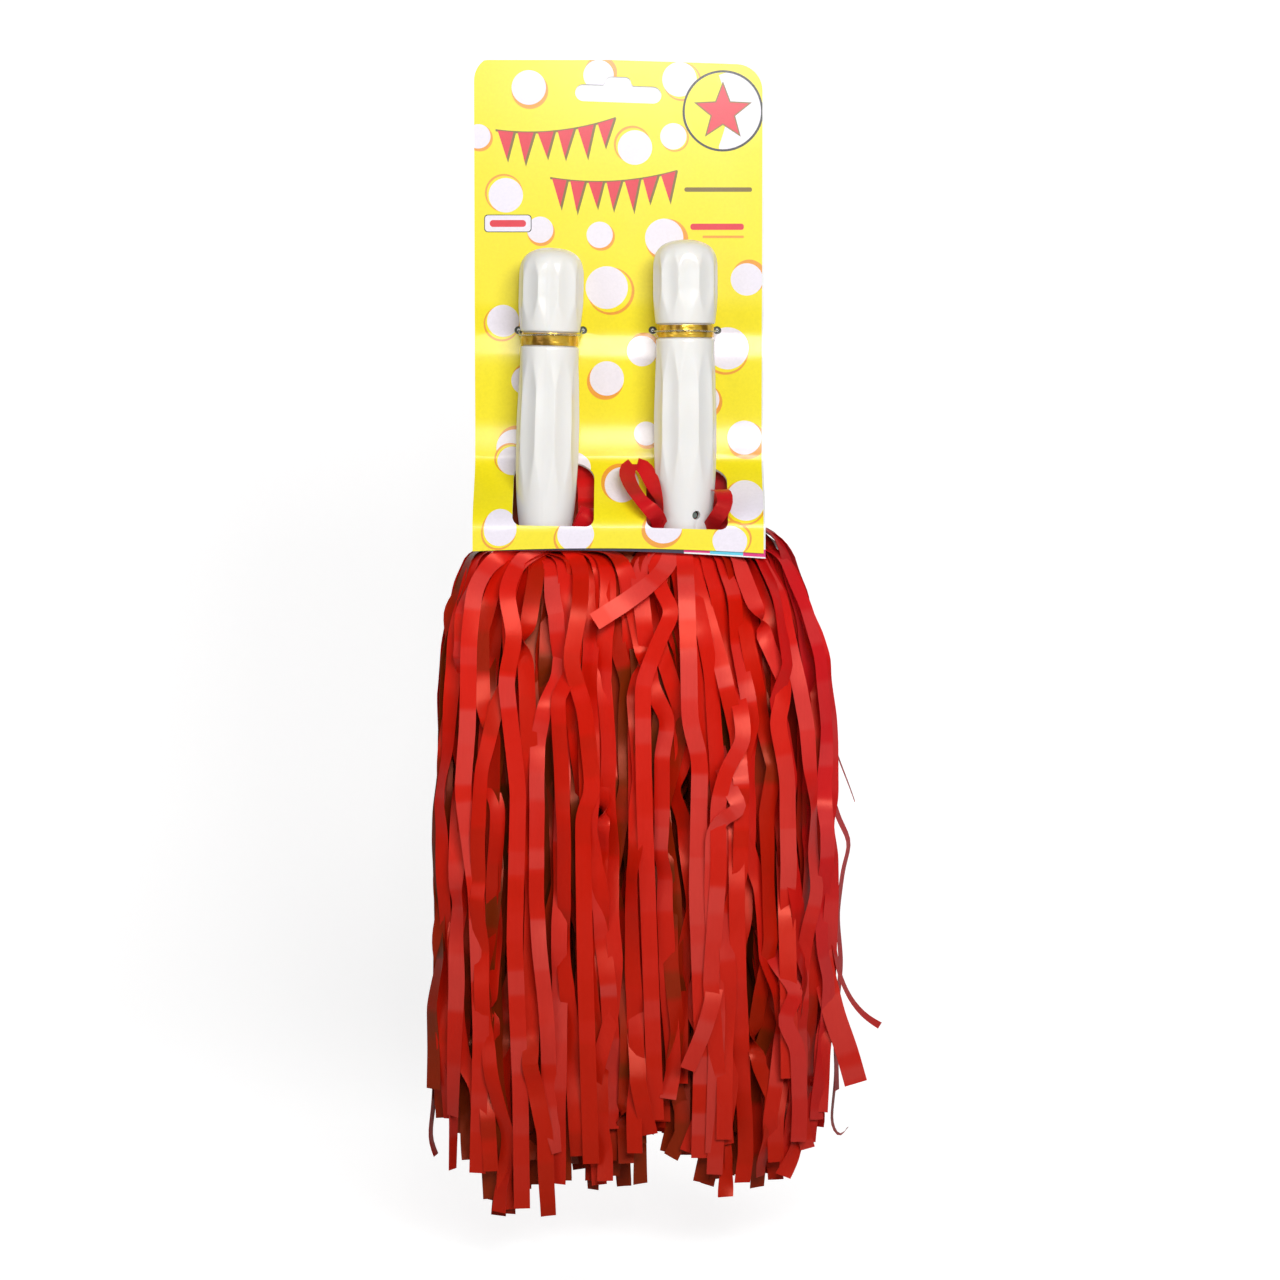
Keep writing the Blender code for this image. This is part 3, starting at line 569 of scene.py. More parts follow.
# ---------------------------------------------------------------- the print, (x, z) seen from the front
DOTS = [  # x, z, radius
    (-33.1875, -3.525, 6.375), (-7.3125, 0.975, 5.625), (22.6875, -0.525, 6.375),
    (6.1875, -25.65, 6.375), (20.4375, -21.525, 4.875), (-41.8125, -43.275, 6.375),
    (-29.0625, -56.025, 4.875), (-6.9375, -57.9, 4.875), (17.0625, -59.025, 7.125),
    (47.8125, -74.4, 6.0), (-4.3125, -77.4, 7.875), (-42.9375, -89.775, 6.0),
    (40.6875, -99.9, 7.875), (8.8125, -101.025, 5.625), (-4.3125, -111.15, 6.375),
    (-34.6875, -111.9, 5.25), (-38.8125, -137.025, 6.75), (-39.5625, -142.275, 5.625),
    (10.3125, -131.775, 4.5), (47.0625, -133.275, 6.375), (-17.0625, -145.275, 6.75),
    (1.3125, -151.275, 6.375), (47.0625, -156.9, 7.125), (-43.3125, -165.9, 6.0),
    (-15.5625, -168.9, 6.75), (16.6875, -166.65, 6.75), (41.0625, -172.275, 6.375),
    (31.6875, -119.025, 6.0), (-51.9375, -21.525, 4.5), (-21.9375, -81.525, 3.375),
    (30.5625, -145.275, 3.75), (-24.5625, -126.525, 4.5)]
BUNTINGS = [  # start, end, sag, pennants
    ((-45.5625, -19.275), (-0.9375, -14.775), 2.625, 6),
    ((-25.3125, -36.9), (21.9375, -34.275), 2.625, 7)]
CORD_HALF = 0.4125
BADGE_X, BADGE_Z, BADGE_R, BADGE_RIM = 38.8125, -12.15, 15.0, 0.8625
STAR_POINT_R, STAR_NOTCH_R, STAR_DROP = 10.125, 4.3125, 0.375
BARS = [  # left, top, right, bottom, ink, corner radius
    (-49.875, -50.4, -32.25, -56.9625, "black", 1.35),
    (-49.575, -50.7, -32.55, -56.6625, "white", 1.2),
    (-47.8125, -52.425, -34.3125, -54.975, "red", 1.2),
    (24.5625, -40.35, 49.6875, -42.0, "olive", 0.75),
    (26.8125, -53.775, 46.6875, -56.1, "red", 0.975),
    (31.3125, -58.2, 46.6875, -59.1, "orange", 0.4125)]


def on_sheet(points):
    """(x, z) on the upright card to (x, s) on the flat sheet."""
    return [(x, (sheet_s(z) if z < CARD_TOP else CARD_TOP - z) - SHEAR * x) for x, z in points]


def dot_shapes():
    """White discs, each with an offset orange shadow; some shadows are only an outline."""
    shapes = []
    rng = random.Random(5)
    for x, z, r in DOTS:
        angle = math.radians(rng.choice((-55, -40, -120, 130, -70, 50)))
        offset = r * rng.uniform(0.16, 0.26)
        rim = r * rng.uniform(1.04, 1.12)
        dx, dz = offset * math.cos(angle), offset * math.sin(angle)
        shapes.append((on_sheet(circle(x + dx, z + dz, rim, 44)), "orange"))
        if rng.random() < 0.35:
            middle = circle(x + dx * 0.75, z + dz * 0.75, rim * 0.93, 44)
            shapes.append((on_sheet(middle), "yellow"))
        shapes.append((on_sheet(circle(x, z, r, 44)), "white"))
    return shapes


def bunting_shapes():
    """Hung strings of red pennants with olive shadows."""
    shapes = []
    for start, end, sag, count in BUNTINGS:
        start, end = np.array(start), np.array(end)

        def hang(t):
            return start + (end - start) * t - np.array([0.0, sag * 4 * t * (1 - t)])

        cord = [hang(i / 40) for i in range(41)]
        outline = [(x, z + CORD_HALF) for x, z in cord]
        outline += [(x, z - CORD_HALF) for x, z in reversed(cord)]
        shapes.append((on_sheet(outline), "olive"))
        for i in range(count):
            a, b = hang((i + 0.10) / count), hang((i + 0.90) / count)
            drop = 10.125 + 1.125 * math.sin(i * 2.1)
            tip = (a + b) / 2 + np.array([(-1) ** i * 0.375, -drop])
            centre = (a + b + tip) / 3
            shadow = [centre + (p - centre) * 1.16 + np.array([0.525, -0.45]) for p in (a, b, tip)]
            shapes.append((on_sheet(shadow), "olive"))
            shapes.append((on_sheet((a, b, tip)), "red"))
    return shapes


def badge_shapes():
    """Round badge with a slightly uneven rim, a yellow left part and a star."""
    def ring(r, wobble):
        angles = [2 * math.pi * i / 64 for i in range(64)]
        return on_sheet([(BADGE_X + r * math.cos(a) * (1 + wobble * math.sin(5 * a)),
                          BADGE_Z - r * math.sin(a)) for a in angles])

    face_r = BADGE_R - BADGE_RIM
    left_part = [(BADGE_X + face_r * math.cos(math.radians(a)),
                  BADGE_Z - face_r * math.sin(math.radians(a))) for a in range(95, 276, 6)]
    chord = BADGE_R - 0.9
    left_part += [(BADGE_X - 1.875 + 3.375 * math.sin(math.radians(a)),
                   BADGE_Z + chord - 2 * chord * a / 180) for a in range(6, 180, 8)]

    def star(scale):
        points = []
        for i in range(10):
            r = (STAR_NOTCH_R if i % 2 else STAR_POINT_R) * scale
            a = math.radians(-90 + 36 * i)
            points.append((BADGE_X + r * math.cos(a), BADGE_Z - STAR_DROP - r * math.sin(a)))
        return on_sheet(points)

    return [(ring(BADGE_R, wobble=0.006), "black"), (ring(face_r, wobble=0.004), "white"),
            (on_sheet(left_part), "yellow"), (star(1.12), "olive"), (star(1.0), "red")]


def bar_shapes():
    """A blank label and plain bars in place of small print."""
    shapes = []
    for left, top, right, bottom, colour, r in BARS:
        pts = []
        for x, z, start in ((right - r, top - r, 270), (right - r, bottom + r, 0),
                            (left + r, bottom + r, 90), (left + r, top - r, 180)):
            angles = [math.radians(start + 15 * k) for k in range(7)]
            pts += [(x + r * math.cos(a), z - r * math.sin(a)) for a in angles]
        shapes.append((on_sheet(pts), colour))
    return shapes


# ---------------------------------------------------------------- the two boards
def board_mesh(name, outline, holes, shapes, back_depth, front_depth, base):
    """A printed board, cut into triangles along every ink edge, thickened and bent.

    shapes: (polygon, ink name), later ones on top; base: the ink of the rest of the front.
    """
    pts, edges = [], []
    for loop in [outline, *holes, *(polygon for polygon, _ in shapes)]:
        start, count = len(pts), len(loop)
        pts.extend(loop)
        edges.extend((start + i, start + (i + 1) % count) for i in range(count))
    xs = [x for x, _ in outline]
    ss = [s for _, s in outline]
    # level lines so that every triangle stays between two stations of the bend
    for s in STATION[1:-1]:
        if min(ss) < s < max(ss):
            row = len(pts)
            line = np.linspace(min(xs) - 3, max(xs) + 3, 12)
            pts.extend((float(x), float(s)) for x in line)
            edges.extend((row + i, row + i + 1) for i in range(len(line) - 1))
    flat, _, tris, _, _, _ = delaunay_2d_cdt([Vector(p) for p in pts], edges, [], 0, 1e-5)
    flat = np.array([tuple(v) for v in flat])
    tris = [f for f in tris if len(f) == 3]
    centres = np.array([(flat[a] + flat[b] + flat[c]) / 3 for a, b, c in tris])
    keep = inside(outline, centres)
    for hole in holes:
        keep &= ~inside(hole, centres)
    names = list(INK)
    index = np.full(len(tris), names.index(base))
    for polygon, colour in shapes:
        index[inside(polygon, centres)] = names.index(colour)
    tris = [f for f, kept in zip(tris, keep) if kept]
    index = list(index[keep])
    used = sorted({i for f in tris for i in f})
    renumber = {old: new for new, old in enumerate(used)}
    flat = flat[used]
    # wind every triangle the same way, facing the front
    front = []
    for f in tris:
        i, j, k = (renumber[n] for n in f)
        a, b, c = flat[i], flat[j], flat[k]
        area = (b[0] - a[0]) * (c[1] - a[1]) - (b[1] - a[1]) * (c[0] - a[0])
        front.append((i, j, k) if area < 0 else (i, k, j))
    n = len(flat)
    verts = []
    for depth in (front_depth, back_depth):
        verts += list(zip(*bend_card(flat[:, 0], depth, flat[:, 1])))
    sides = dict.fromkeys((f[i], f[(i + 1) % 3]) for f in front for i in range(3))
    border = [(a, b) for a, b in sides if (b, a) not in sides]
    faces = front + [(a + n, c + n, b + n) for a, b, c in front]
    faces += [(b, a, a + n, b + n) for a, b in border]
    index += [names.index("plain")] * len(front) + [names.index("core")] * len(border)
    return make_object(name, verts, faces, list(INK.values()), index, angle=30)


WINDOW_HOLES = [window_outline(side) for side in SIDES]
BACK_SHIFT = 0.7                # the back board sits a little to the right
FOOT_BANDS = [  # left, right, overhang past the foot, ink
    # the first band is painted shadow under the front board's edge
    (CARD_LEFT + BACK_SHIFT - 1, 24.2, 3, "painted_foot_shadow"), (24.2, 33.8, 0.9, "magenta"),
    (33.8, 46.0, 1.2, "cyan"), (46.0, CARD_RIGHT + BACK_SHIFT + 1, 1.35, "magenta")]


def build_front_board():
    shapes = dot_shapes() + bunting_shapes() + badge_shapes() + bar_shapes()
    holes = [slot_outline(0.4)] + WINDOW_HOLES + tie_circles(1.55, 24)
    front = board_mesh("front_board_printed", card_outline(0.0, 0.0, 0.0), holes, shapes,
                       BOARD_THICK + BOARD_GAP, 2 * BOARD_THICK + BOARD_GAP, "yellow")
    hand_over(front, "card", "front_card")


def build_back_board():
    """Plain board with coloured bands along its foot, the left one painted shadow, and dark grey rims
    of painted shade round small cord holes.
    """
    foot = FOOT_S - 1.4
    shapes = [([(x0, foot), (x1, foot), (x1, FOOT_S + over), (x0, FOOT_S + over)], colour)
              for x0, x1, over, colour in FOOT_BANDS]
    # painted shade round the cord holes
    shapes += [(rim, "painted_hole_shade") for rim in tie_circles(2.4, 28)]
    holes = [slot_outline(0.0)] + WINDOW_HOLES + tie_circles(0.55, 16)
    back = board_mesh("back_board", card_outline(BACK_SHIFT, 0.1, 1.9), holes, shapes,
                      0.0, BOARD_THICK, "plain")
    hand_over(back, "card", "back_card")


build_front_board()
build_back_board()

# ---------------------------------------------------------------- handles
# (depth below the handle's top, radius)
CAP_PROFILE = [
    (0.0, 0.0), (0.06, 1.6), (0.25, 3.4), (0.9, 6.1), (2.0, 8.4), (3.6, 10.1), (6.0, 11.3),
    (9.5, 11.9), (14.0, 12.05), (19.5, 12.0), (25.0, 11.6), (29.0, 11.2), (30.3, 11.05),
    (30.75, 10.85), (31.0, 10.5)]
BODY_PROFILE = [
    (36.4, 10.3), (36.65, 10.62), (37.0, 10.77), (42.0, 10.8), (49.0, 11.1), (57.0, 11.45),
    (66.0, 11.7), (75.0, 11.65), (84.0, 11.35), (92.0, 10.95), (98.0, 10.4), (103.0, 9.7),
    (107.5, 8.8), (109.6, 8.2), (110.0, 7.9)]
NECK_R, WALL = 9.85, 1.6
NECK_PROFILE = [
    (CAP_HEIGHT + 0.02, 10.1), (CAP_HEIGHT + 0.05, NECK_R), (CAP_HEIGHT + 1.8, NECK_R),
    (CAP_HEIGHT + 3.6, NECK_R), (CAP_HEIGHT + GROOVE_HEIGHT - 0.05, NECK_R),
    (CAP_HEIGHT + GROOVE_HEIGHT - 0.01, 10.1)]
INNER_PROFILE = [
    (109.9, 6.75), (109.4, 6.55), (106.0, 7.2), (100.0, 8.2), (90.0, 9.3), (60.0, 9.5),
    (40.0, 9.2), (37.0, NECK_R - WALL), (30.4, NECK_R - WALL), (26.0, 9.8), (12.0, 10.2),
    (5.5, 8.6), (2.9, 5.0)]
INNER_TOP = 2.2
FLUTES, FLUTE_DEPTH = 10, 0.95
PIN_ANGLE = {"left": 86.0, "right": 24.0}       # degrees round from the front
GATE_ANGLE = {"left": 8.0, "right": 24.0}
PIN_DEPTH, PIN_R, PIN_HALF, HOLE_CLEARANCE = 101.3, 1.2, 8.2, 0.42


def pchip(points):
    """Monotone cubic through (depth, radius) points, sampled finely."""
    x, y = np.array(points, float).T
    h = np.diff(x)
    d = np.diff(y) / h
    slope = np.zeros(len(x))
    slope[0], slope[-1] = d[0], d[-1]
    for i in range(1, len(x) - 1):
        if d[i - 1] * d[i] > 0:
            w1, w2 = 2 * h[i] + h[i - 1], h[i] + 2 * h[i - 1]
            slope[i] = (w1 + w2) / (w1 / d[i - 1] + w2 / d[i])
    out = []
    for i in range(len(h)):
        steps = max(2, min(14, int(math.ceil(h[i] / 0.9))))
        for t in (j / steps for j in range(steps)):
            h00, h10 = 2 * t ** 3 - 3 * t ** 2 + 1, t ** 3 - 2 * t ** 2 + t
            h01, h11 = -2 * t ** 3 + 3 * t ** 2, t ** 3 - t ** 2
            out.append((x[i] + t * h[i], h00 * y[i] + h10 * h[i] * slope[i]
                        + h01 * y[i + 1] + h11 * h[i] * slope[i + 1]))
    out.append((x[-1], y[-1]))
    return out


def handle_matrix(side):
    """Handle frame: z along its axis, x to the right."""
    z = Vector(HANDLE_AXIS[side])
    x = Vector((1, 0, 0)) - z * z.x
    x.normalize()
    matrix = Matrix((x, z.cross(x), z)).transposed().to_4x4()
    matrix.translation = Vector(HANDLE_POS[side])
    return matrix


def flute_amount(depth):
    """How deep the flutes are, 0 to 1: one run on the cap, one on the body."""
    def hill(rise, full, fall, end):
        up = float(smooth((depth - rise) / (full - rise)))
        return up * (1 - float(smooth((depth - fall) / (end - fall))))
    return max(hill(3.0, 12.0, 18.0, 29.0), hill(38.5, 55.0, 72.0, 93.0))


def angle_from(angles, middle):
    return (angles - middle + math.pi) % (2 * math.pi) - math.pi


def outer_radius(depth, base, angles, phase, gate_angle):
    """Lens-shaped flutes, two fine raised mould lines and a short groove at the foot."""
    amount = flute_amount(depth)
    across = np.abs(2 * (((angles - phase) * FLUTES / (2 * math.pi)) % 1.0) - 1)
    # the flute is widest where it is deepest
    width = 0.35 + 0.65 * amount
    dish = np.clip(1 - (across / width) ** 2, 0, None) * (FLUTE_DEPTH * amount)
    seam = 0.0
    if depth > 4 and base > 3:
        for turn in (0.5 * math.pi, -0.5 * math.pi):
            d = angle_from(angles, phase + turn)
            seam = seam + 0.05 * np.exp(-(d * base / 0.22) ** 2)
    d = angle_from(angles, gate_angle)
    gate = 0.32 * np.exp(-(d * base / 0.34) ** 2) * float(smooth((depth - 103.2) / 1.2))
    return base - dish - gate + seam


def lathe_mesh(name, rings, segments, mat, matrix, angle, close=False):
    """rings: (radius or array of radii, z); radius 0 is a pole."""
    verts, faces, rows = [], [], []
    angles = np.arange(segments) * 2 * math.pi / segments
    for r, z in rings:
        if np.isscalar(r) and r == 0:
            rows.append([len(verts)])
            verts.append((0, 0, z))
            continue
        rr = np.broadcast_to(np.asarray(r, float), angles.shape)
        rows.append(list(range(len(verts), len(verts) + segments)))
        verts += [(a, b, z) for a, b in zip(rr * np.cos(angles), rr * np.sin(angles))]
    pairs = list(zip(rows, rows[1:])) + ([(rows[-1], rows[0])] if close else [])
    for a, b in pairs:
        for i in range(segments):
            j = (i + 1) % segments
            if len(a) == 1:
                faces.append((a[0], b[i], b[j]))
            elif len(b) == 1:
                faces.append((a[i], b[0], a[j]))
            else:
                faces.append((a[i], b[i], b[j], a[j]))
    verts = [tuple(matrix @ Vector(v)) for v in verts]
    return recalc(make_object(name, verts, faces, [mat], angle=angle))


def rod(name, a, b, r, mat, sides, rounding=0.0):
    """A straight level rod between two points, its ends rounded if asked."""
    along = (b - a).normalized()
    up = Vector((0, 0, 1))
    up = (up - along * up.dot(along)).normalized()
    across = along.cross(up)
    length = (b - a).length
    stations = [(0, r)]
    if rounding:
        stations = [(0, r - rounding)]
        for k in range(1, 5):
            turn = k * math.pi / 8
            stations.append((rounding * (1 - math.cos(turn)),
                             r - rounding + rounding * math.sin(turn)))
    stations += [(length - s, q) for s, q in reversed(stations)]
    angles = [2 * math.pi * k / sides for k in range(sides)]
    verts, rows, faces = ring_rows(
        [[tuple(a + along * s + (up * math.cos(g) + across * math.sin(g)) * q) for g in angles]
         for s, q in stations])
    faces += [tuple(rows[0]), tuple(rows[-1])]
    return recalc(make_object(name, verts, faces, [mat], angle=50))


def tube(name, pts, r, mat, sides):
    """A round tube along a line, closed at both ends."""
    pts = np.asarray(pts, float)
    tangents = np.gradient(pts, axis=0)
    tangents /= np.linalg.norm(tangents, axis=1)[:, None]
    normal = np.array([0, 0, 1.0]) if abs(tangents[0][2]) < 0.8 else np.array([1.0, 0, 0])
    angles = [2 * math.pi * k / sides for k in range(sides)]
    rings = []
    for p, t in zip(pts, tangents):
        normal = normal - t * normal.dot(t)
        normal /= np.linalg.norm(normal)
        side_way = np.cross(t, normal)
        rings.append([tuple(p + (normal * math.cos(g) + side_way * math.sin(g)) * r)
                      for g in angles])
    verts, rows, faces = ring_rows(rings)
    faces += [tuple(reversed(rows[0])), tuple(rows[-1])]
    return recalc(make_object(name, verts, faces, [mat], angle=50))


def pin_line(side, matrix, half):
    """The two ends of a line through the pin's place."""
    angle = math.radians(PIN_ANGLE[side])
    way = Vector((math.sin(angle), -math.cos(angle), 0))
    centre = Vector((0, 0, HANDLE_TOP - PIN_DEPTH))
    return matrix @ (centre - way * half), matrix @ (centre + way * half)


def build_grip(side, matrix, phase):
    """The hollow handle shell, with the pin's hole through both walls."""
    segments = 160
    angles = np.arange(segments) * 2 * math.pi / segments
    gate_angle = math.radians(GATE_ANGLE[side]) - math.pi / 2

    def skin(profile):
        return [(outer_radius(depth, r, angles, phase, gate_angle), HANDLE_TOP - depth)
                for depth, r in profile]

    rings = [(0, HANDLE_TOP)] + skin(pchip(CAP_PROFILE)[1:])
    rings += [(r, HANDLE_TOP - depth) for depth, r in NECK_PROFILE]
    rings += skin(pchip(BODY_PROFILE))
    rings += [(r, HANDLE_TOP - depth) for depth, r in INNER_PROFILE]
    rings.append((0, HANDLE_TOP - INNER_TOP))
    ob = lathe_mesh(side + "_handle_grip", rings, segments, HANDLE_PLASTIC, matrix, angle=32)

    cutter = rod("cutter", *pin_line(side, matrix, 15), PIN_R + HOLE_CLEARANCE, HANDLE_PLASTIC, 28)
    cut = ob.modifiers.new("hole", "BOOLEAN")
    cut.operation, cut.solver, cut.object = "DIFFERENCE", "EXACT", cutter
    graph = bpy.context.evaluated_depsgraph_get()
    graph.update()
    mesh = bpy.data.meshes.new_from_object(ob.evaluated_get(graph), depsgraph=graph).copy()
    ob.modifiers.clear()
    ob.data = mesh
    mesh.materials.clear()
    mesh.materials.append(HANDLE_PLASTIC)
    mesh.shade_smooth()
    mesh.set_sharp_from_angle(angle=math.radians(32))
    bpy.data.objects.remove(cutter, do_unlink=True)
    hand_over(ob, side + "_handle", side + "_handle_shell")


def build_foil_band(side, matrix, phase):
    """Foil sleeve round the neck: faint ripples, slightly turned edges and a raised overlap."""
    half, outer_r, inner_r, segments = 2.3, 10.53, 10.17, 180
    start = seeded("foil", side).uniform(0, 2 * math.pi, 6)
    angles = np.arange(segments) * 2 * math.pi / segments
    lap = 0.06 * smooth((np.cos(angles - phase - math.pi) - 0.93) / 0.03)
    rings = []
    for z in np.linspace(half, -half, 11):
        ripple = sum(0.020 * np.sin((5 + 3 * i) * angles + start[i] + z * (0.4 + 0.3 * i))
                     for i in range(4))
        turned = 0.05 * (abs(z) > 2.25)
        rings.append((outer_r + ripple - turned + lap, z))
    rings += [(inner_r, -half), (inner_r, half)]
    band = lathe_mesh(side + "_gold_foil_band", rings, segments, GOLD_FOIL, matrix, angle=40,
                      close=True)
    hand_over(band, side + "_handle", side + "_gold_band")


def build_pin(side, matrix):
    pin = rod(side + "_cross_pin", *pin_line(side, matrix, PIN_HALF), PIN_R, PIN_PLASTIC, 24,
              rounding=0.3)
    hand_over(pin, side + "_handle", side + "_retaining_pin")


def build_wire(side, matrix):
    """Binding wire: two turns round the bundle inside the handle."""
    r, z = 5.72, HANDLE_TOP - 95.5
    pts = []
    for t in (i / 48 for i in range(97)):
        turn = 2 * math.pi * t
        pts.append(tuple(matrix @ Vector((r * math.cos(turn), r * math.sin(turn),
                                          z + 0.55 - 0.55 * t))))
    wire = tube(side + "_bundle_wire", pts, 0.27, WIRE_STEEL, 8)
    hand_over(wire, side + "_handle", side + "_binding_wire")


LOOP_Z = {"left": -95.2, "right": -93.8}


def build_tie(side):
    """Clear cord: round the neck over the foil, through the card, ends twisted behind."""
    x, z = HANDLE_POS[side][0], LOOP_Z[side]
    y = HANDLE_POS[side][1]
    back_y, loop_r = 1.6, 11.15
    loop = [(x + loop_r * math.cos(g), y + loop_r * math.sin(g), z + 0.12 * math.sin(3 * g))
            for g in np.linspace(math.pi, 2 * math.pi, 28)]
    head = [(x - 2.2, back_y + 0.1, TIE_Z + 0.1), (x - 7, back_y, TIE_Z + 0.2),
            (x - TIE_DX + 1.0, back_y - 0.05, TIE_Z), (x - TIE_DX - 0.1, back_y - 1.2, TIE_Z),
            (x - TIE_DX, -1.8, TIE_Z - 0.1), (x - 11.6, -7.0, (z + TIE_Z) / 2)]
    tail = [(2 * x - a, b, c) for a, b, c in reversed(head)]

    def twist(sign):
        out = []
        for t in (i / 21 for i in range(22)):
            turn = 2 * math.pi * 2.6 * t
            r = sign * (0.52 + 0.25 * t * t)
            out.append((x + r * math.cos(turn),
                        back_y + 0.55 + 0.35 * t - r * math.sin(turn) * 0.9,
                        TIE_Z - 0.6 - 9.5 * t))
        return out

    pts = catmull(twist(-1)[::-1] + head + loop + tail + twist(1), step=0.55)
    cord = tube(side + "_clear_tie", pts, 0.30, CLEAR_CORD, 10)
    hand_over(cord, "card", side + "_card_tie")


for side in SIDES:
    matrix = handle_matrix(side)
    phase = math.radians(PIN_ANGLE[side]) - math.pi / 2
    build_grip(side, matrix, phase)
    build_foil_band(side, matrix, phase)
    build_pin(side, matrix)
    build_wire(side, matrix)
    build_tie(side)

# ---------------------------------------------------------------- streamers: one strip
STRIP_THICK = 0.16
STEP = 2.6              # sample spacing along a strip


class Strips:
    """Collects film strips, each a thin closed ribbon with square ends, for one object."""

    def __init__(self):
        self.verts, self.faces, self.tone, self.hue = [], [], [], []
        self.count = 0

    def add(self, line, width, normal, cup, tone, hue):
        """width: full width vectors; cup: bulge of the middle; tone: one for each point."""
        n = len(line)
        left, right = line - width / 2, line + width / 2
        mid = line + normal * cup[:, None]
        rise = normal * (STRIP_THICK / 2)
        rows = [left + rise, mid + rise, right + rise, right - rise, mid - rise, left - rise]
        first = self.count
        i = np.arange(n - 1)[:, None] * 6 + first
        k = np.arange(6)[None, :]
        j = (k + 1) % 6
        quads = np.stack([i + k, i + j, i + 6 + j, i + 6 + k], 2).reshape(-1, 4)
        self.faces.extend(map(tuple, quads.tolist()))
        last = first + (n - 1) * 6
        self.faces += [(first + 1, first, first + 5, first + 4),
                       (first + 2, first + 1, first + 4, first + 3),
                       (last, last + 1, last + 4, last + 5),
                       (last + 1, last + 2, last + 3, last + 4)]
        self.verts.append(np.stack(rows, 1).reshape(-1, 3))
        self.tone.append(np.repeat(tone, 6))
        self.hue.append(np.full(n * 6, hue))
        self.count += n * 6

    def build(self, name):
        mesh = bpy.data.meshes.new(name)
        mesh.from_pydata((np.vstack(self.verts) * MM).tolist(), [], self.faces)
        mesh.materials.append(FILM)
        for key, values in (("strip_tone", self.tone), ("strip_hue", self.hue)):
            attribute = mesh.attributes.new(key, "FLOAT", "POINT")
            attribute.data.foreach_set("value", np.concatenate(values).astype(np.float32))
        return recalc(finish_mesh(name, mesh, 50))


def wave_noise(rng, s, wave, amount):
    """Smooth random function of arc length."""
    out = np.zeros_like(s)
    for _ in range(4):
        length = wave * rng.uniform(0.6, 1.6)
        phase = rng.uniform(0, 2 * math.pi)
        out += np.sin(2 * math.pi * s / length + phase) * rng.uniform(0.3, 1.0)
    return out * amount / 2.2


def strip_frame(line, yaw):
    """Width and normal directions from a yaw angle (0: width along X, facing the front)."""
    t = np.gradient(line, axis=0)
    t /= np.linalg.norm(t, axis=1)[:, None]
    width = np.stack([np.cos(yaw), np.sin(yaw), np.zeros_like(yaw)], 1)
    width = width - t * np.sum(width * t, axis=1)[:, None]
    width = width / np.maximum(np.linalg.norm(width, axis=1)[:, None], 1e-6)
    # a soft filter keeps the width direction from flicking where the strip runs along it
    for _ in range(2):
        width[1:-1] = (width[:-2] + 2 * width[1:-1] + width[2:]) / 4
        width = width - t * np.sum(width * t, axis=1)[:, None]
        width /= np.linalg.norm(width, axis=1)[:, None]
    return width, np.cross(t, width)


def soften(values, passes):
    """Round the corners of a sampled line or function, ends kept."""
    values = np.array(values, float)
    for _ in range(passes):
        values[1:-1] = (values[:-2] + 2 * values[1:-1] + values[2:]) / 4
    return values


def sample_rows(rows, passes):
    """Line, yaw and distance along, sampled evenly from corner rows of x, y, z, yaw."""
    rows, t = resample(np.asarray(rows, float), STEP, least=4)
    rows = soften(rows, passes)
    return rows[:, :3], rows[:, 3], t


def creases(rng, s, longest, tip, shade):
    """Facets along a strip: how far each station stands off, and its facet's tone shift, painted light:
    lighter where the facet tips up towards the light, darker where it tips away, plus a random part.
    """
    knots, lifts, lift = [0.0], [0.0], 0.0
    tones = np.zeros_like(s)
    while knots[-1] < s[-1]:
        step = rng.uniform(5.0, longest)
        slope = rng.normal(0, tip)
        lift = max(-2.0, min(2.0, 0.55 * lift + slope * step))
        here = (s >= knots[-1]) & (s < knots[-1] + step)
        tone = slope / tip * shade + rng.normal(0, shade * 0.6)
        tones[here] = max(-0.26, min(0.34, tone))
        knots.append(knots[-1] + step)
        lifts.append(lift)
    return soften(np.interp(s, knots, lifts), 1), tones


def path_strip(rng, rows, width, passes):
    """A strip laid through given rows of x, y, z, yaw."""
    line, yaw, s = sample_rows(rows, passes)
    across, normal = strip_frame(line, yaw)
    cup = wave_noise(rng, s, 40, 0.16)
    _, shade = creases(rng, np.arange(len(line)) * STEP, longest=17.0, tip=0.15, shade=0.085)
    return line, across * width, normal, cup, shade


# ---------------------------------------------------------------- streamers: the tassels' shape
# x of each tassel's left and right edge: heights, then x at each
EDGE_LEFT = {
    "left": ([-168, -172, -177, -186, -198, -215, -232, -300, -382, -425],
             [-44, -49, -54.5, -60.5, -64.0, -66.2, -67.2, -68.6, -69.0, -64]),
    "right": ([-168, -177, -186, -215, -262, -340, -425], [2, 1, 2.5, 5.5, 9.5, 12, 15])}
EDGE_RIGHT = {
    "left": ([-168, -177, -186, -215, -300, -425], [3, 6.5, 7.5, 8.5, 10.5, 12]),
    "right": ([-164, -170, -174, -178, -194, -210, -228, -270, -340, -395, -425],
              [46, 54, 60, 64, 71.0, 75.5, 78.5, 79.5, 78.5, 75, 72])}
# y of the tassels' front and back: heights, then y at each
EDGE_FRONT = ([-168, -174, -178.5, -184, -190, -202, -262, -425],
              [-19.0, -21.4, -22.4, -27.6, -32.6, -36.0, -37.8, -37.8])
EDGE_BACK = ([-168, -174, -178, -184, -198, -262, -425], [-1.0, 2.0, 3.5, 6.0, 7.5, 9.0, 9.0])
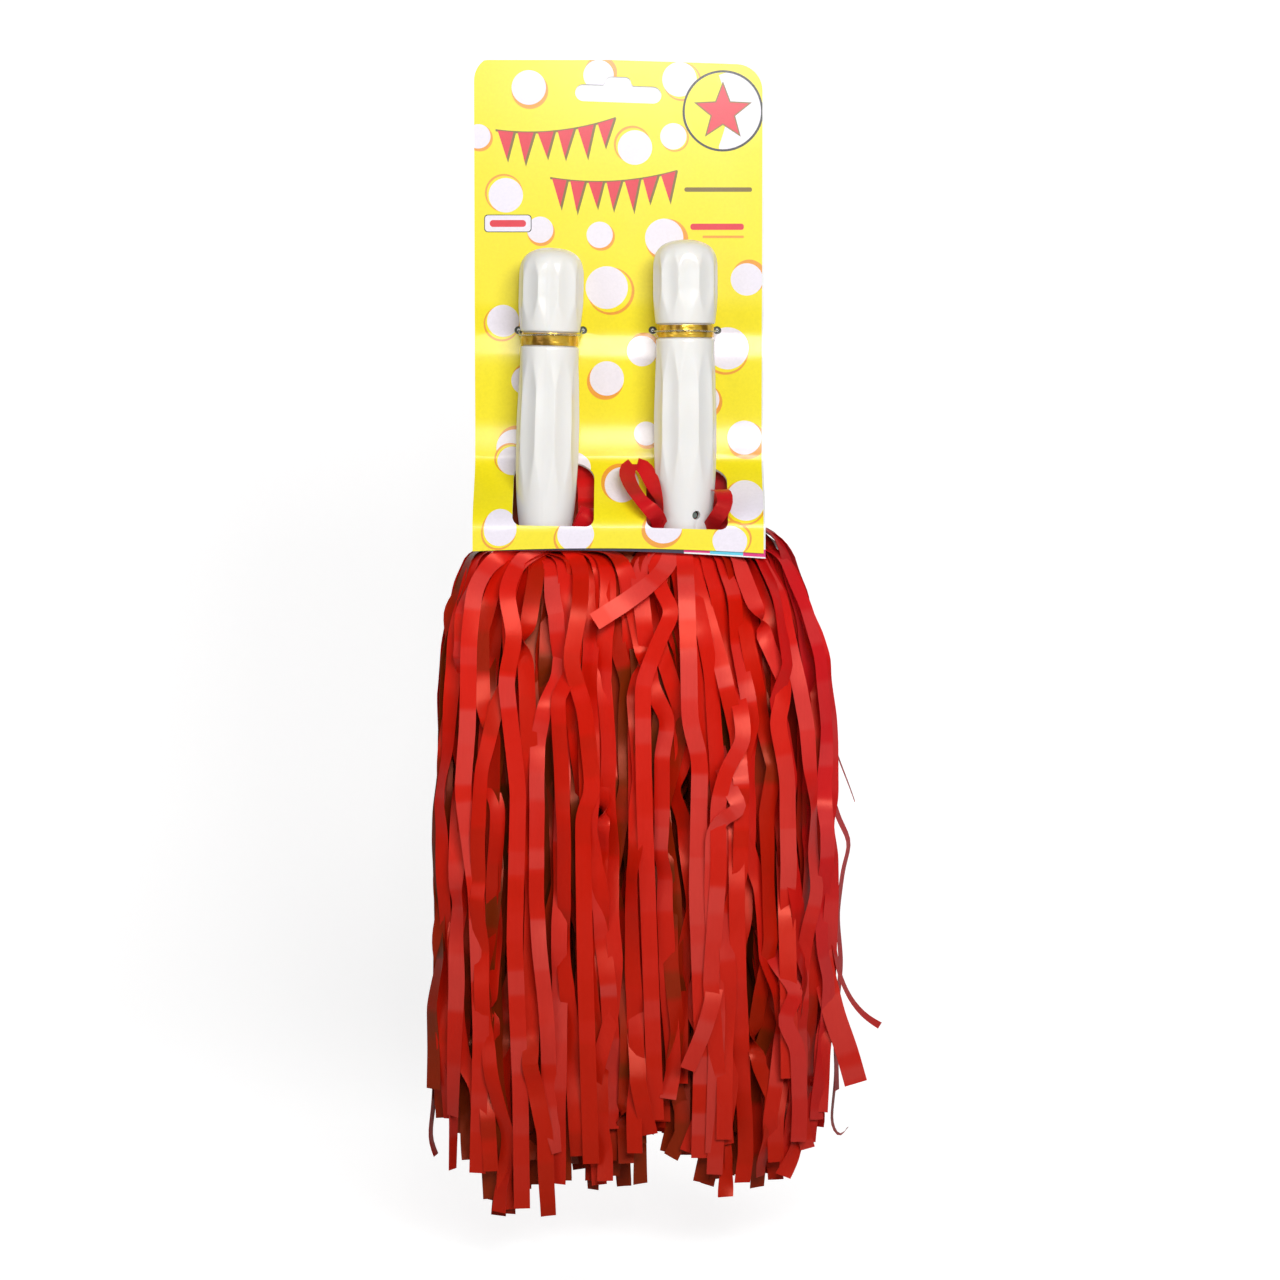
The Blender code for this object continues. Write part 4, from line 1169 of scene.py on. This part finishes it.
# height of the strips' free ends: x, then z at each
END_Z = {
    "left": ([-72, -64, -57, -51, -44, -36, -26, -18, -10, -2, 5, 12],
             [-376, -381, -388, -402, -415, -417, -412, -407, -402, -406, -394, -379]),
    "right": ([4, 14, 20, 28, 36, 46, 54, 60, 68, 76, 82],
              [-377, -382, -389, -401, -403, -400, -407, -402, -394, -386, -378])}
SHOULDER_Z = -188.0     # where a strip's arch over the mouth ends and its fall begins
# strips stand in rows: (front-to-back place 0..1, count)
ROWS = ((0.02, 8), (0.09, 9), (0.18, 10), (0.28, 11), (0.40, 11), (0.54, 10), (0.67, 10),
        (0.79, 11), (0.89, 12), (0.98, 12))


def edge(table, z):
    heights, places = table
    return np.interp(-np.asarray(z, float), -np.array(heights, float), places)


def outwards(side, u):
    """u counts 0..1 from the left; this counts 0..1 from the tassel's inner side."""
    return u if side == "right" else 1 - u


def place(side, u, v, z):
    """x, y in the tassel: u across (0 left, 1 right), v from front to back, at height z."""
    left, right = edge(EDGE_LEFT[side], z), edge(EDGE_RIGHT[side], z)
    front, back = edge(EDGE_FRONT, z), edge(EDGE_BACK, z)
    # rounded in plan: the depth shrinks towards the outer side
    shrink = 1 - 0.42 * np.clip(outwards(side, u) - 0.45, 0, None) ** 2 / 0.3
    mid = (front + back) / 2
    return left + (right - left) * u, mid + (front + (back - front) * v - mid) * shrink


def lock_of(side, u, v):
    """Which lock of the frame a strip belongs to."""
    out = outwards(side, u)
    if out > 0.885:
        return "side"
    if v < 0.46:
        return "front_outer" if out > 0.56 else ("front_middle" if out > 0.24 else "front_inner")
    return "back_outer" if out > 0.46 else "back_inner"


def strip_arch(side, rng, u, v, lift):
    """From inside the mouth out over its rim; also the direction of the reach."""
    mouth = MOUTH[side]
    a, r = rng.uniform(0, 2 * math.pi), 4.6 * math.sqrt(rng.uniform(0, 1))
    root = mouth + np.array([r * math.cos(a), r * math.sin(a), 0])
    tx, ty = place(side, u, v, -184)
    dx, dy = tx - root[0], ty - root[1]
    # the further a strip has to reach, the flatter it leaves the mouth
    far = min(1.0, math.hypot(dx, dy) / 32.0)
    low_a, low_b = mouth[2] - 4.5, mouth[2] - 8.5
    za = low_a + (mouth[2] - 1.3 - low_a) * far + rng.uniform(-0.4, 0.4) + 6.5 * lift
    zb = low_b + (-175.0 - low_b) * far + rng.uniform(-0.5, 0.5) + 9.0 * lift
    fore = v < 0.5
    points = [root + np.array([0, 0, 13.0]), root + np.array([0, 0, 4.0]),
              root + np.array([dx * 0.03, dy * 0.03, -1.0]),
              (root[0] + dx * 0.42, max(root[1] + dy * 0.36, -21.4), za),
              (root[0] + dx * 0.80, max(root[1] + dy * 0.66, -22.2), zb),
              (root[0] + dx * 0.97, max(ty, -25.6) if fore else root[1] + dy * 0.9,
               min((-182.0 if fore else -180.5) + 5.0 * lift, zb - 2.0)),
              (tx, ty, SHOULDER_Z)]
    return catmull(points, STEP), math.atan2(dy, dx)


def strip_fall(side, rng, u, v, skin):
    """Corner rows (x, y, z, yaw) of the run from the shoulder down to the free end."""
    end = float(np.interp(place(side, u, v, -400)[0], *END_Z[side])) - 3.0
    end += rng.normal(0, 4.0) if rng.random() < 0.34 else abs(rng.normal(0, 13.0))
    end = max(min(end, -352.0), -424.0)
    heights = [SHOULDER_Z]
    while True:
        z = heights[-1] - rng.uniform(9, 34)
        if z < end + 8:
            break
        heights.append(z)
    heights.append(end)
    out = outwards(side, u)
    # the outer strips face round the tassel
    plan = (1 if side == "right" else -1) * 0.75 * max(0.0, out - 0.45) ** 1.2 / 0.48
    base = rng.normal(0, 0.20 if skin else 0.65)
    base += plan if v < 0.36 else -plan if v > 0.80 else 0.0
    wander_x = wander_y = 0.0
    slant = rng.normal(0, 3.0)
    hold = 0.35 if out > 0.84 else 1.0
    rows = []
    for k, z in enumerate(heights):
        x, y = place(side, u, v, z)
        wander_x = 0.86 * wander_x + rng.normal(0, 0.75)
        wander_y = 0.55 * wander_y + rng.normal(0, 1.8)
        if rng.random() < 0.15:
            wander_x += rng.choice((-1, 1)) * rng.uniform(2.5, 6.0)
        ease = min(1.0, k / 2)
        x += (wander_x + slant * math.sin((z - SHOULDER_Z) / 75.0)) * ease * hold
        if side == "left":
            x = max(x, float(edge(EDGE_LEFT["left"], z)) + 1.2)
        else:
            x = min(x, float(edge(EDGE_RIGHT["right"], z)) - 1.2)
        yaw = base + rng.normal(0, 0.27 if skin else 0.36)
        rows.append([x, max(y + wander_y * ease, -41.0), z, yaw])
    # a sharp kink out and back
    if skin and out < 0.84 and len(rows) > 4 and rng.random() < 0.45:
        k = int(rng.integers(1, len(rows) - 1))
        rows[k][0] += rng.choice((-1, 1)) * rng.uniform(2.2, 4.6)
        rows[k][3] += rng.choice((-1, 1)) * 0.4
    return rows


def free_strip(side, rng, u, v, width, lift):
    """One strip from inside the mouth to its free end: over the rim, then down in facets."""
    skin = v < 0.36 or v > 0.80
    top, reach_yaw = strip_arch(side, rng, u, v, lift)
    rows = strip_fall(side, rng, u, v, skin)
    turn, turn_z, turn_run = 0.0, 0.0, 1.0
    if rng.random() < (0.28 if skin else 0.4):          # one half twist
        at = rng.integers(1, max(2, len(rows) - 1))
        turn = rng.choice((-1, 1)) * math.pi
        turn_z = rows[at][2] + rng.uniform(-4, 4)
        turn_run = rng.uniform(5, 13)
    low, low_yaw, _ = sample_rows(rows, rng.choice((0, 0, 1, 1)))
    low_yaw = low_yaw + turn * smooth((turn_z - low[:, 2]) / turn_run)
    # over the rim the strip lies across its reach, lower down it faces outwards
    top_yaw = reach_yaw + math.pi / 2
    target = low_yaw[0]
    while target - top_yaw > math.pi / 2:
        top_yaw += math.pi
    while target - top_yaw < -math.pi / 2:
        top_yaw -= math.pi
    run = np.linspace(0, 1, len(top))
    top_yaw = top_yaw + (target - top_yaw) * smooth((run - 0.55) / 0.45)
    line = np.vstack([top[:-1], low])
    join = len(top) - 1
    line[join - 4:join + 5] = soften(line[join - 4:join + 5], 4)
    across, normal = strip_frame(line, np.concatenate([top_yaw[:-1], low_yaw]))
    s = np.arange(len(line)) * STEP
    lowness = smooth((-line[:, 2] - 180.0) / 14)
    # crinkles: facets which tip up and down by turns, with soft creases between them
    stand, shade = creases(rng, s, longest=21.0, tip=0.15 if skin else 0.10,
                           shade=0.095 if skin else 0.03)
    stand_off = (stand + wave_noise(rng, s, 46, 0.3)) * lowness
    line = line + normal * stand_off[:, None]
    cup = rng.choice((-1, 1)) * rng.uniform(0.0, 0.28) + wave_noise(rng, s, 60, 0.20)
    return line, across * width, normal, cup * (0.3 + 0.7 * lowness), shade


# ---------------------------------------------------------------- streamers: the tassels
LOCKS = ("front_inner", "front_middle", "front_outer", "back_inner", "back_outer", "side")
STORE = {(side, part): Strips() for side in SIDES for part in ("root", *LOCKS)}


def add_split(side, lock, strip, tone, hue):
    """The strip's root goes to the mouth's bundle, the rest to its lock."""
    line, width, normal, cup, shade = strip
    cut = int(np.argmax(line[:, 2] < MOUTH[side][2] - 0.3))
    cut = max(3, min(cut, len(line) - 5))
    for part, span in (("root", slice(None, cut + 1)), (lock, slice(cut, None))):
        STORE[side, part].add(line[span], width[span], normal[span], cup[span],
                              (tone + shade)[span], hue)


def strip_tone(side, rng, u, v):
    """Bright at the front and back, dark within: the darker inner strips are painted shade."""
    if v < 0.135 or v > 0.80:
        tone = rng.uniform(0.50, 0.86)
    elif v < 0.34:
        tone = rng.uniform(0.02, 0.44) if side == "left" else rng.uniform(0.08, 0.58)
    else:
        tone = rng.uniform(0.0, 0.30)
    if v < 0.07 and rng.random() < 0.25:
        tone = rng.uniform(0.82, 0.95)
    if side == "right" and u > 0.66 and v < 0.5:
        tone = min(0.95, tone + 0.16)
    return tone


def fill_tassel(side):
    rng = seeded("tassel", side, 7)
    for row_v, count in ROWS:
        for i in range(count):
            u = (i + 0.5 + rng.uniform(-0.38, 0.38)) / count
            u = min(0.995, max(0.005, u))
            v = min(1.0, max(0.0, row_v + rng.uniform(-0.035, 0.035)))
            lift = hue = 0.0
            if side == "right" and u > 0.82 and 0.12 < v < 0.95:
                lift = rng.uniform(0.0, 1.0)
            elif rng.random() < 0.25 and v > 0.3:
                lift = rng.uniform(0.0, 0.5)
            tone = strip_tone(side, rng, u, v)
            if side == "right":
                hue = max(0.0, (u - 0.66) * 2.2) * rng.uniform(0.3, 1.0)
            width = rng.choice([5.6, 5.8, 5.9, 6.1])
            strip = free_strip(side, rng, u, v, width, lift)
            add_split(side, lock_of(side, u, v), strip, tone, float(min(hue, 1.0)))


# ---------------------------------------------------------------- streamers: laid one by one
# rows are x, y, z, yaw; each stray is (side, lock, settings, rows)
STRAYS_FRONT = [
    # a ribbon crossing down to the left under the card's lower strip, pale with a painted highlight
    ("right", "front_inner", dict(tone=1.0, width=6.6), [
        (20.5, -21.5, -171.5, 0.1), (19.6, -22.6, -176.8, 0.15), (17.0, -27.6, -181.4, 0.15),
        (11.4, -35.2, -186.4, 0.15), (2.0, -39.3, -193.0, 0.1), (-8.5, -41.0, -199.5, 0.05)]),
    # its neighbours: one folded back to the right, one straight and bright with a painted highlight
    ("right", "front_inner", dict(tone=0.85), [
        (14.0, -21.4, -171, 0), (13.7, -22.6, -177.5, 0), (14.0, -28.0, -182, 0.05),
        (15.5, -35.5, -188, 0.1), (20.5, -39.0, -196, 0.25), (16.0, -39.8, -204, 0.3),
        (9.0, -38.8, -222, 0.1), (9.5, -38.0, -262, 0), (12, -37.5, -330, -0.1),
        (14, -36, -384, 0.1)]),
    ("right", "front_inner", dict(tone=1.0, width=6.2), [
        (24.5, -21.4, -170, 0), (24.5, -22.6, -177.5, 0), (24.7, -28.0, -182, 0),
        (25.0, -35.5, -188.5, 0.05), (25.8, -39.5, -212, 0), (26.2, -40.0, -236, 0.1),
        (30.0, -38.0, -250, -0.2), (29.0, -38.5, -300, 0.1), (31.0, -37.0, -352, 0),
        (30.0, -36.5, -398, 0.1)]),
]
STRAYS_OUTER = [
    # arcs over the left shoulder
    ("left", "front_outer", dict(tone=0.95, width=6.1), [
        (-30, -20, -171.6, 0.5), (-38, -21.8, -173.8, 0.35), (-45.6, -22.8, -177.6, 0.2),
        (-49.4, -27.0, -182.2, 0.1), (-52.5, -31.6, -188, 0), (-54.5, -35.2, -206, -0.1),
        (-55.0, -36.5, -238, -0.05), (-57.0, -36.0, -262, 0.2), (-52.0, -36.2, -300, 0),
        (-50.5, -35, -352, -0.1), (-52, -34.5, -404, -0.1)]),
    ("left", "front_outer", dict(tone=0.9, width=6.0), [
        (-25, -20, -171.8, 0.35), (-31, -22.0, -174.6, 0.3), (-35.6, -22.8, -177.6, 0.2),
        (-38.6, -28.4, -182.2, 0.15), (-41.0, -35.0, -189, 0.1), (-37.5, -38.2, -205, 0.2),
        (-41.0, -38.0, -221, -0.1), (-36.5, -37.5, -262, 0.1), (-38, -37.0, -318, 0),
        (-36, -36.5, -372, 0.15), (-35.5, -36, -417, 0.1)]),
    ("left", "front_middle", dict(tone=0.7, width=6.0), [
        (-20, -20, -172.0, 0), (-17, -22.0, -174.8, -0.1), (-14.6, -22.8, -177.8, -0.1),
        (-13.5, -29.6, -183.0, -0.1), (-13.8, -37.5, -194, 0), (-17.5, -40.0, -214, 0.25),
        (-12.0, -39.5, -232, -0.2), (-9.0, -39.6, -262, 0.1), (-13.0, -39.0, -270, 0.45),
        (-12.0, -38.4, -330, 0), (-10.0, -37, -400, 0.1)]),
    # folded pieces in the right tassel's front: each comes across, turns under and drops
    ("right", "front_inner", dict(tone=1.0, passes=2), [
        (36, -24.0, -244, 0), (39.0, -36.0, -256, 0), (42.0, -40.6, -263, 0.1),
        (45.5, -41.2, -268.0, 0.2), (38.0, -41.6, -271.5, 0.3), (34.8, -40.5, -276.0, 0.2),
        (34.5, -39.0, -300, 0), (36.5, -38.0, -345, 0.05), (35.0, -37, -396, 0.1)]),
    ("right", "front_middle", dict(tone=0.95, passes=2), [
        (40, -24.0, -214, 0), (45.0, -36.5, -232, 0), (46.0, -40.0, -243, 0.3),
        (39.5, -41.0, -254, 0.35), (36.5, -41.2, -266, 0.2), (36.8, -40.0, -292, 0),
        (34.0, -39.0, -332, 0.1), (37.0, -37.5, -372, -0.1), (35.5, -37, -404, 0)]),
    # wisps at the right: thin edge-on runs, an end standing off and pale with a painted highlight, a
    # curl
    ("right", "side", dict(tone=0.5, width=3.2, hue=0.5), [
        (77.5, -18, -236, 1.35), (81.0, -17, -250, 1.4), (85.8, -15, -262, 1.45),
        (88.0, -12, -268, 1.5)]),
    ("right", "side", dict(tone=0.75, width=5.4, hue=0.6), [
        (78.0, -12, -262, 1.1), (82.5, -10, -276, 1.2), (87.0, -9, -284, 1.25),
        (84.0, -9, -294, 1.2), (82.0, -9, -312, 1.3), (83.5, -9, -330, 1.2),
        (81.5, -9, -352, 1.3), (82.0, -9, -378, 1.2)]),
    ("right", "side", dict(tone=0.95, width=4.6, hue=0.35), [
        (79.5, -22, -318, 1.2), (82.0, -23, -332, 1.25), (86.0, -24, -341, 1.2),
        (91.5, -25, -347.5, 1.0), (97.0, -26, -350.5, 0.7)]),
    ("right", "side", dict(tone=1.0, width=8.6, hue=0.2), [
        (73.5, -24, -312, 0.3), (76.0, -26, -330, 0.25), (79.8, -28, -346, 0.2),
        (84.5, -29, -359, 0.15), (88.0, -29.5, -371.5, 0.1)]),
    ("right", "side", dict(tone=0.35, width=4.0, hue=0.2), [
        (80.5, -6, -340, 1.2), (82.0, -4, -372, 1.25), (80.0, -4, -392, 1.3),
        (83.5, -4, -398, 1.3), (86.5, -4, -393, 1.3)]),
    # wisps at the left foot
    ("left", "side", dict(tone=0.95, width=5.6), [
        (-66.5, -20, -330, 0.8), (-66.8, -22, -352, 0.9), (-62.0, -26, -366, 0.9),
        (-61.0, -28, -384, 1.0), (-61.5, -28, -404, 1.1)]),
    ("left", "side", dict(tone=0.3, width=4.4), [
        (-68.0, -12, -345, 1.2), (-69.0, -12, -380, 1.2), (-71.0, -12, -396, 1.3),
        (-68.5, -12, -402, 1.2)]),
    # short pieces resting on the front of the right tassel
    ("right", "front_middle", dict(tone=0.95, width=6.2), [
        (38, -24, -306, 0), (37, -34.5, -324, 0), (35, -39.6, -338, 0.15),
        (31.5, -41.0, -350, 0.3), (25.5, -42.0, -364, 0.3)]),
    ("right", "front_outer", dict(tone=0.85, width=6.4), [
        (61.5, -22, -286, 0.1), (62.0, -33.5, -306, 0.1), (62.5, -37.0, -328, 0.1),
        (63.0, -38.2, -368, 0.12)]),
    ("right", "front_outer", dict(tone=0.95, hue=0.3, passes=2), [
        (52.0, -22, -312, 0.2), (57.0, -34, -324, 0.2), (66.0, -38.5, -336, 0.3),
        (60.5, -40.2, -346, 0.3), (66.0, -39.6, -356, 0.2), (67.0, -37, -380, 0.2),
        (66.5, -36, -392, 0.2)]),
]


def middle_strays():
    """Dull dark ribbons which close the middle behind the card's lower strip; their dark tone is
    painted shade.
    """
    out = []
    for k in range(5):
        y = -17.5 + 3.6 * k
        lock = "front_inner" if k < 2 else "back_inner"
        out.append(("left", lock, dict(tone=0.12 + 0.08 * k), [
            (-21, y, -172.4 + 0.5 * k, 0.2), (-10, y, -170.8 - 0.3 * k, 0.1),
            (-1.0 + 0.8 * k, y, -171.5, 0), (3.5 + 0.6 * k, y - 1.5, -178, 0.1),
            (5.5, y - 4, -190, 0.2), (7.0 - k, y - 4, -230, 0), (6 + k * 0.6, y - 3, -290, 0.2),
            (8, y - 3, -352, 0.1), (7, y - 2, -386 - 3 * k, 0)]))
        out.append(("right", lock, dict(tone=0.10 + 0.08 * k), [
            (19, y, -169.6, 0.1), (11, y, -169.2 - 0.3 * k, 0.1), (5.0 - 0.8 * k, y, -171.0, 0),
            (0.5, y - 1.5, -177.5, -0.1), (0.5 + 0.8 * k, y - 5, -190, 0.2),
            (4.0 + k, y - 4, -230, 0.1), (7 + k * 0.6, y - 3, -290, -0.2),
            (9, y - 3, -350, 0.1), (11, y - 2, -382 - 3 * k, 0)]))
    return out


def add_strays():
    """Strips that leave the bunch: crossing ribbons, loops and wisps at the sides."""
    rng = seeded("strays")

    def add(strips, rows, tone, width=5.9, hue=0.0, passes=3):
        *strip, shade = path_strip(rng, rows, width, passes)
        strips.add(*strip, tone + shade, hue)

    for side, lock, settings, rows in STRAYS_FRONT + middle_strays() + STRAYS_OUTER:
        add(STORE[side, lock], rows, **settings)


# each is (settings, rows); bands: (down to this z, tone shift), bands of painted highlight and shade
WINDOW_RIBBONS = {
    "left": [
        (dict(tone=0.45, width=6.2), [
            (-18, -8, -176.5, 0.2), (-13.5, -5, -173, 0.1), (-11.2, -4.5, -164, 0),
            (-11.0, -3.0, -153, 0), (-11.6, 3.0, -145, 0), (-13, 6.0, -135, 0)]),
        (dict(tone=0.62, width=6.6, hue=0.3, bands=[
            (-149.0, 0.0), (-151.5, 0.2), (-156.0, 0.36), (-157.5, 0.12), (-161.5, -0.04),
            (-163.5, 0.22), (-190.0, -0.1)]), [
            (-17, -10, -176.5, 0), (-12.5, -9.5, -170.5, 0.1), (-11.2, -9.6, -163, 0.1),
            (-11.9, -9.0, -157.5, 0), (-11.7, -4.0, -153.5, 0), (-12.6, 1.8, -146.4, 0),
            (-13, 4.6, -138, 0)]),
        (dict(tone=0.7, width=5.6, passes=2), [
            (-18, -14, -176.5, 0.5), (-16.2, -15.5, -169, 0.6), (-12.3, -15.2, -161.5, 0.5),
            (-10.4, -13.0, -157.6, 0.4), (-11.5, -10.5, -159.0, 0.5), (-14.5, -9, -165, 0.5)]),
        (dict(tone=0.5, width=5.6, passes=2), [
            (-16, -12, -176.5, 0.2), (-14.6, -17.0, -168.5, 0.3), (-13.4, -18.5, -163.4, 0.4),
            (-9.6, -17.5, -161.0, 0.4), (-6, -12, -160, 0.4)]),
        # nearly black: painted shade at the window's left side
        (dict(tone=0.0, hue=0.0), [
            (-34, -8, -176, -0.2), (-38.6, -3, -170, -0.2), (-40.0, -0.5, -158, -0.2),
            (-40.5, 2, -146, -0.2)]),
    ],
    "right": [
        # left of the handle: dark turns of painted shade, then a loop which stands out over the card
        (dict(tone=0.12), [
            (18, -10, -176, 0.1), (13.4, -8, -170.5, 0), (11.8, -5, -160, 0),
            (12.4, -1, -149, 0), (13, 2.5, -141, 0)]),
        (dict(tone=0.5, width=5.2, passes=2), [
            (18, -14, -175, 0.5), (15.0, -16.5, -168.0, 0.6), (14.6, -18.4, -162.6, 0.6),
            (14.6, -17.0, -158.0, 0.5), (14.0, -16, -160, 0.5), (14.4, -15, -166, 0.4)]),
        (dict(tone=0.66, passes=2), [
            (17, -12, -175, 0.5), (15.4, -17.0, -167.4, 0.5), (15.4, -21.4, -163.8, 0.45),
            (13.8, -27.2, -160.8, 0.42), (10.4, -28.4, -157.8, 0.4), (5.8, -23.2, -152.6, 0.3),
            (2.6, -14.6, -146.2, 0.2), (4.6, -10.0, -142.2, 0.1), (9.2, -10.6, -142.8, -0.1),
            (12.0, -17.0, -148.2, -0.5), (14.2, -21.6, -152.6, -0.9),
            (15.6, -21.6, -156.6, -1.2), (15.6, -19, -163, -1.25)]),
        # right of the handle: first a dark run of painted shade
        (dict(tone=0.15), [
            (31, -8, -175.5, -0.1), (36.8, -4, -170, 0), (38.8, -1, -160, 0),
            (38.6, 1.5, -150, 0), (37.5, 4, -141, 0)]),
        (dict(tone=0.5, width=6.0), [
            (31, -12, -175, -0.3), (36.0, -12.5, -168.5, -0.2), (38.6, -11.5, -161.0, -0.1),
            (37.4, -7.5, -155.0, 0.1), (36.4, -2.0, -151.0, 0.1), (36.6, 3.4, -147, 0.1)]),
        (dict(tone=0.66, width=5.8, passes=2), [
            (29, -14, -175, -0.6), (33.0, -16.6, -168.0, -0.5), (34.8, -21.0, -164.4, -0.45),
            (36.6, -27.4, -161.6, -0.4), (40.0, -27.8, -156.8, -0.2), (38.4, -22.6, -151.4, 0),
            (36.2, -17, -152.5, 0.2)]),
        (dict(tone=0.4, width=4.8, passes=2), [
            (33, -14, -175, -0.4), (37.6, -17.5, -169.0, -0.3), (38.8, -17.6, -164.4, -0.2),
            (37.2, -14.6, -160.5, -0.1), (35, -12, -163, 0)]),
    ],
}


def build_window_ribbons(side):
    """Ribbons pushed up beside the handle's foot, seen through the window."""
    rng = seeded("window", side)
    strips = Strips()

    def add(rows, tone, width=5.9, hue=0.5, passes=3, bands=None):
        # painted light: the bands set a highlight and shade tone shift down the ribbon
        line, *rest, shade = path_strip(rng, rows, width, passes)
        if bands:
            shade = np.array([next((shift for z, shift in bands if p[2] > z), 0.0)
                              for p in line])
        strips.add(line, *rest, tone * 0.8 + shade * 1.3, hue)

    cx = WINDOWS[side][0]
    # dark ribbons behind the window's sides: their dark tone is painted shade
    for k, dx in enumerate((-13.2, -9.0, 9.0, 13.2)):
        add([(cx + dx * 0.6, -2, -176, 0), (cx + dx, 4.5, -169, 0), (cx + dx, 6.0, -154, 0),
             (cx + dx * 0.97, 7.2, -139, 0), (cx + dx * 0.9, 9.5, -134, 0)],
            tone=0.10 + 0.08 * (k % 2), width=6.6, hue=0.0)
    for settings, rows in WINDOW_RIBBONS[side]:
        add(rows, **settings)
    ob = strips.build(side + "_window_ribbons")
    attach(ob, side + "_pom")


def build_tassel(side):
    root = STORE[side, "root"].build(side + "_strip_roots")
    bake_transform(root)
    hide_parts(side + "_streamer_root", side + "_streamer_shoulder")
    for lock in LOCKS:
        ob = STORE[side, lock].build(f"{side}_strips_{lock}")
        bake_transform(ob)
        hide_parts(f"{side}_streamers_{lock}")


for side in SIDES:
    fill_tassel(side)
add_strays()
for side in SIDES:
    build_tassel(side)
for side in SIDES:
    build_window_ribbons(side)


# ---------------------------------------------------------------- stage, lights, world, camera
def stage_paper():
    """Pale paper that glows to the camera; seen from behind, or by shadow rays, it is clear."""
    m = Shader("stage_paper")
    cloud = m.noise(3, detail=2)
    m.set(Base_Color=m.ramp(cloud, (0.3, (0.46, 0.46, 0.46)), (0.7, (0.48, 0.48, 0.48))),
          Roughness=0.9, Specular_IOR_Level=0.1, Emission_Color=(1.0, 1.0, 1.0))
    path = m.node("LightPath")
    m.set(Emission_Strength=m.remap(path.outputs["Is Camera Ray"], 0.06, 0.72))
    geometry = m.node("NewGeometry")
    see_through = m.math("MAXIMUM", geometry.outputs["Backfacing"],
                         path.outputs["Is Shadow Ray"])
    m.blend_surface(see_through, m.principled, m.node("BsdfTransparent"))
    return m.material


def build_sweep():
    """Floor curving up into a back wall."""
    floor_z = CAD_BOX[0][2] * 1000 - 24.0
    r, wall_y, half_width = 180.0, 430.0, 2200.0
    section = [(-1500.0, floor_z), (wall_y - r, floor_z)]
    section += [(wall_y - r + r * math.sin(math.radians(a)),
                 floor_z + r - r * math.cos(math.radians(a))) for a in range(9, 91, 9)]
    section += [(wall_y, 1500.0)]
    verts = [(x, y, z) for x in (-half_width, half_width) for y, z in section]
    n = len(section)
    faces = [(i, n + i, n + i + 1, i + 1) for i in range(n - 1)]
    make_object("studio_sweep", verts, faces, [stage_paper()], angle=60)


def add_object(name, data, location, direction):
    """Put a light or camera at a place in metres, looking along a direction."""
    ob = bpy.data.objects.new(name, data)
    bpy.context.scene.collection.objects.link(ob)
    ob.location = location
    ob.rotation_mode = "QUATERNION"
    ob.rotation_quaternion = direction.to_track_quat("-Z", "Y")
    return ob


LIGHTS = [  # name, place (m), target (m), width (m), height (m), power (W)
    ("key_softbox", (0.40, -1.36, 0.42), (0.0, 0.0, -0.16), 0.70, 0.42, 16.0),
    ("flash", (0.02, -1.42, 0.20), (0.0, 0.0, -0.12), 0.20, 0.09, 3.0),
    ("fill_softbox", (-0.95, -1.05, 0.25), (0.0, 0.0, -0.18), 0.8, 0.8, 3.2),
    ("back_softbox", (-0.35, 1.30, 0.35), (0.0, 0.0, -0.16), 0.6, 0.6, 7.0)]


def build_lights():
    for name, location, target, width, height, power in LIGHTS:
        light = bpy.data.lights.new(name, "AREA")
        light.shape = "RECTANGLE"
        light.size, light.size_y = width, height
        light.energy = power
        add_object(name, light, location, Vector(target) - Vector(location))


def build_world():
    """White to the camera, dim to the objects."""
    world = bpy.data.worlds.new("studio")
    bpy.context.scene.world = world
    world.use_nodes = True
    nodes, link = world.node_tree.nodes, world.node_tree.links.new
    background = nodes["Background"]
    background.inputs["Color"].default_value = (1.0, 1.0, 1.0, 1.0)
    path = nodes.new("ShaderNodeLightPath")
    strength = nodes.new("ShaderNodeMapRange")
    strength.inputs["To Min"].default_value = 0.10      # what the objects see
    strength.inputs["To Max"].default_value = 1.0       # what the camera sees
    link(path.outputs["Is Camera Ray"], strength.inputs["Value"])
    link(strength.outputs["Result"], background.inputs["Strength"])


def build_camera():
    """In front of the card, raised a little; distance and view width in metres."""
    distance, view_width, elevation = 1.4, 0.480, math.radians(4.0)
    aim = Vector((8.0625 * MM, 0.0, -209.025 * MM))
    camera = bpy.data.cameras.new("camera")
    camera.sensor_width = 36.0
    camera.lens = 36.0 * distance / view_width
    camera.clip_start, camera.clip_end = 0.05, 20
    backwards = Vector((0.0, -math.cos(elevation), math.sin(elevation)))
    bpy.context.scene.camera = add_object("camera", camera, aim + backwards * distance, -backwards)


build_sweep()
build_lights()
build_world()
build_camera()
bpy.context.scene.view_settings.view_transform = "Standard"
bpy.context.scene.view_settings.look = "None"
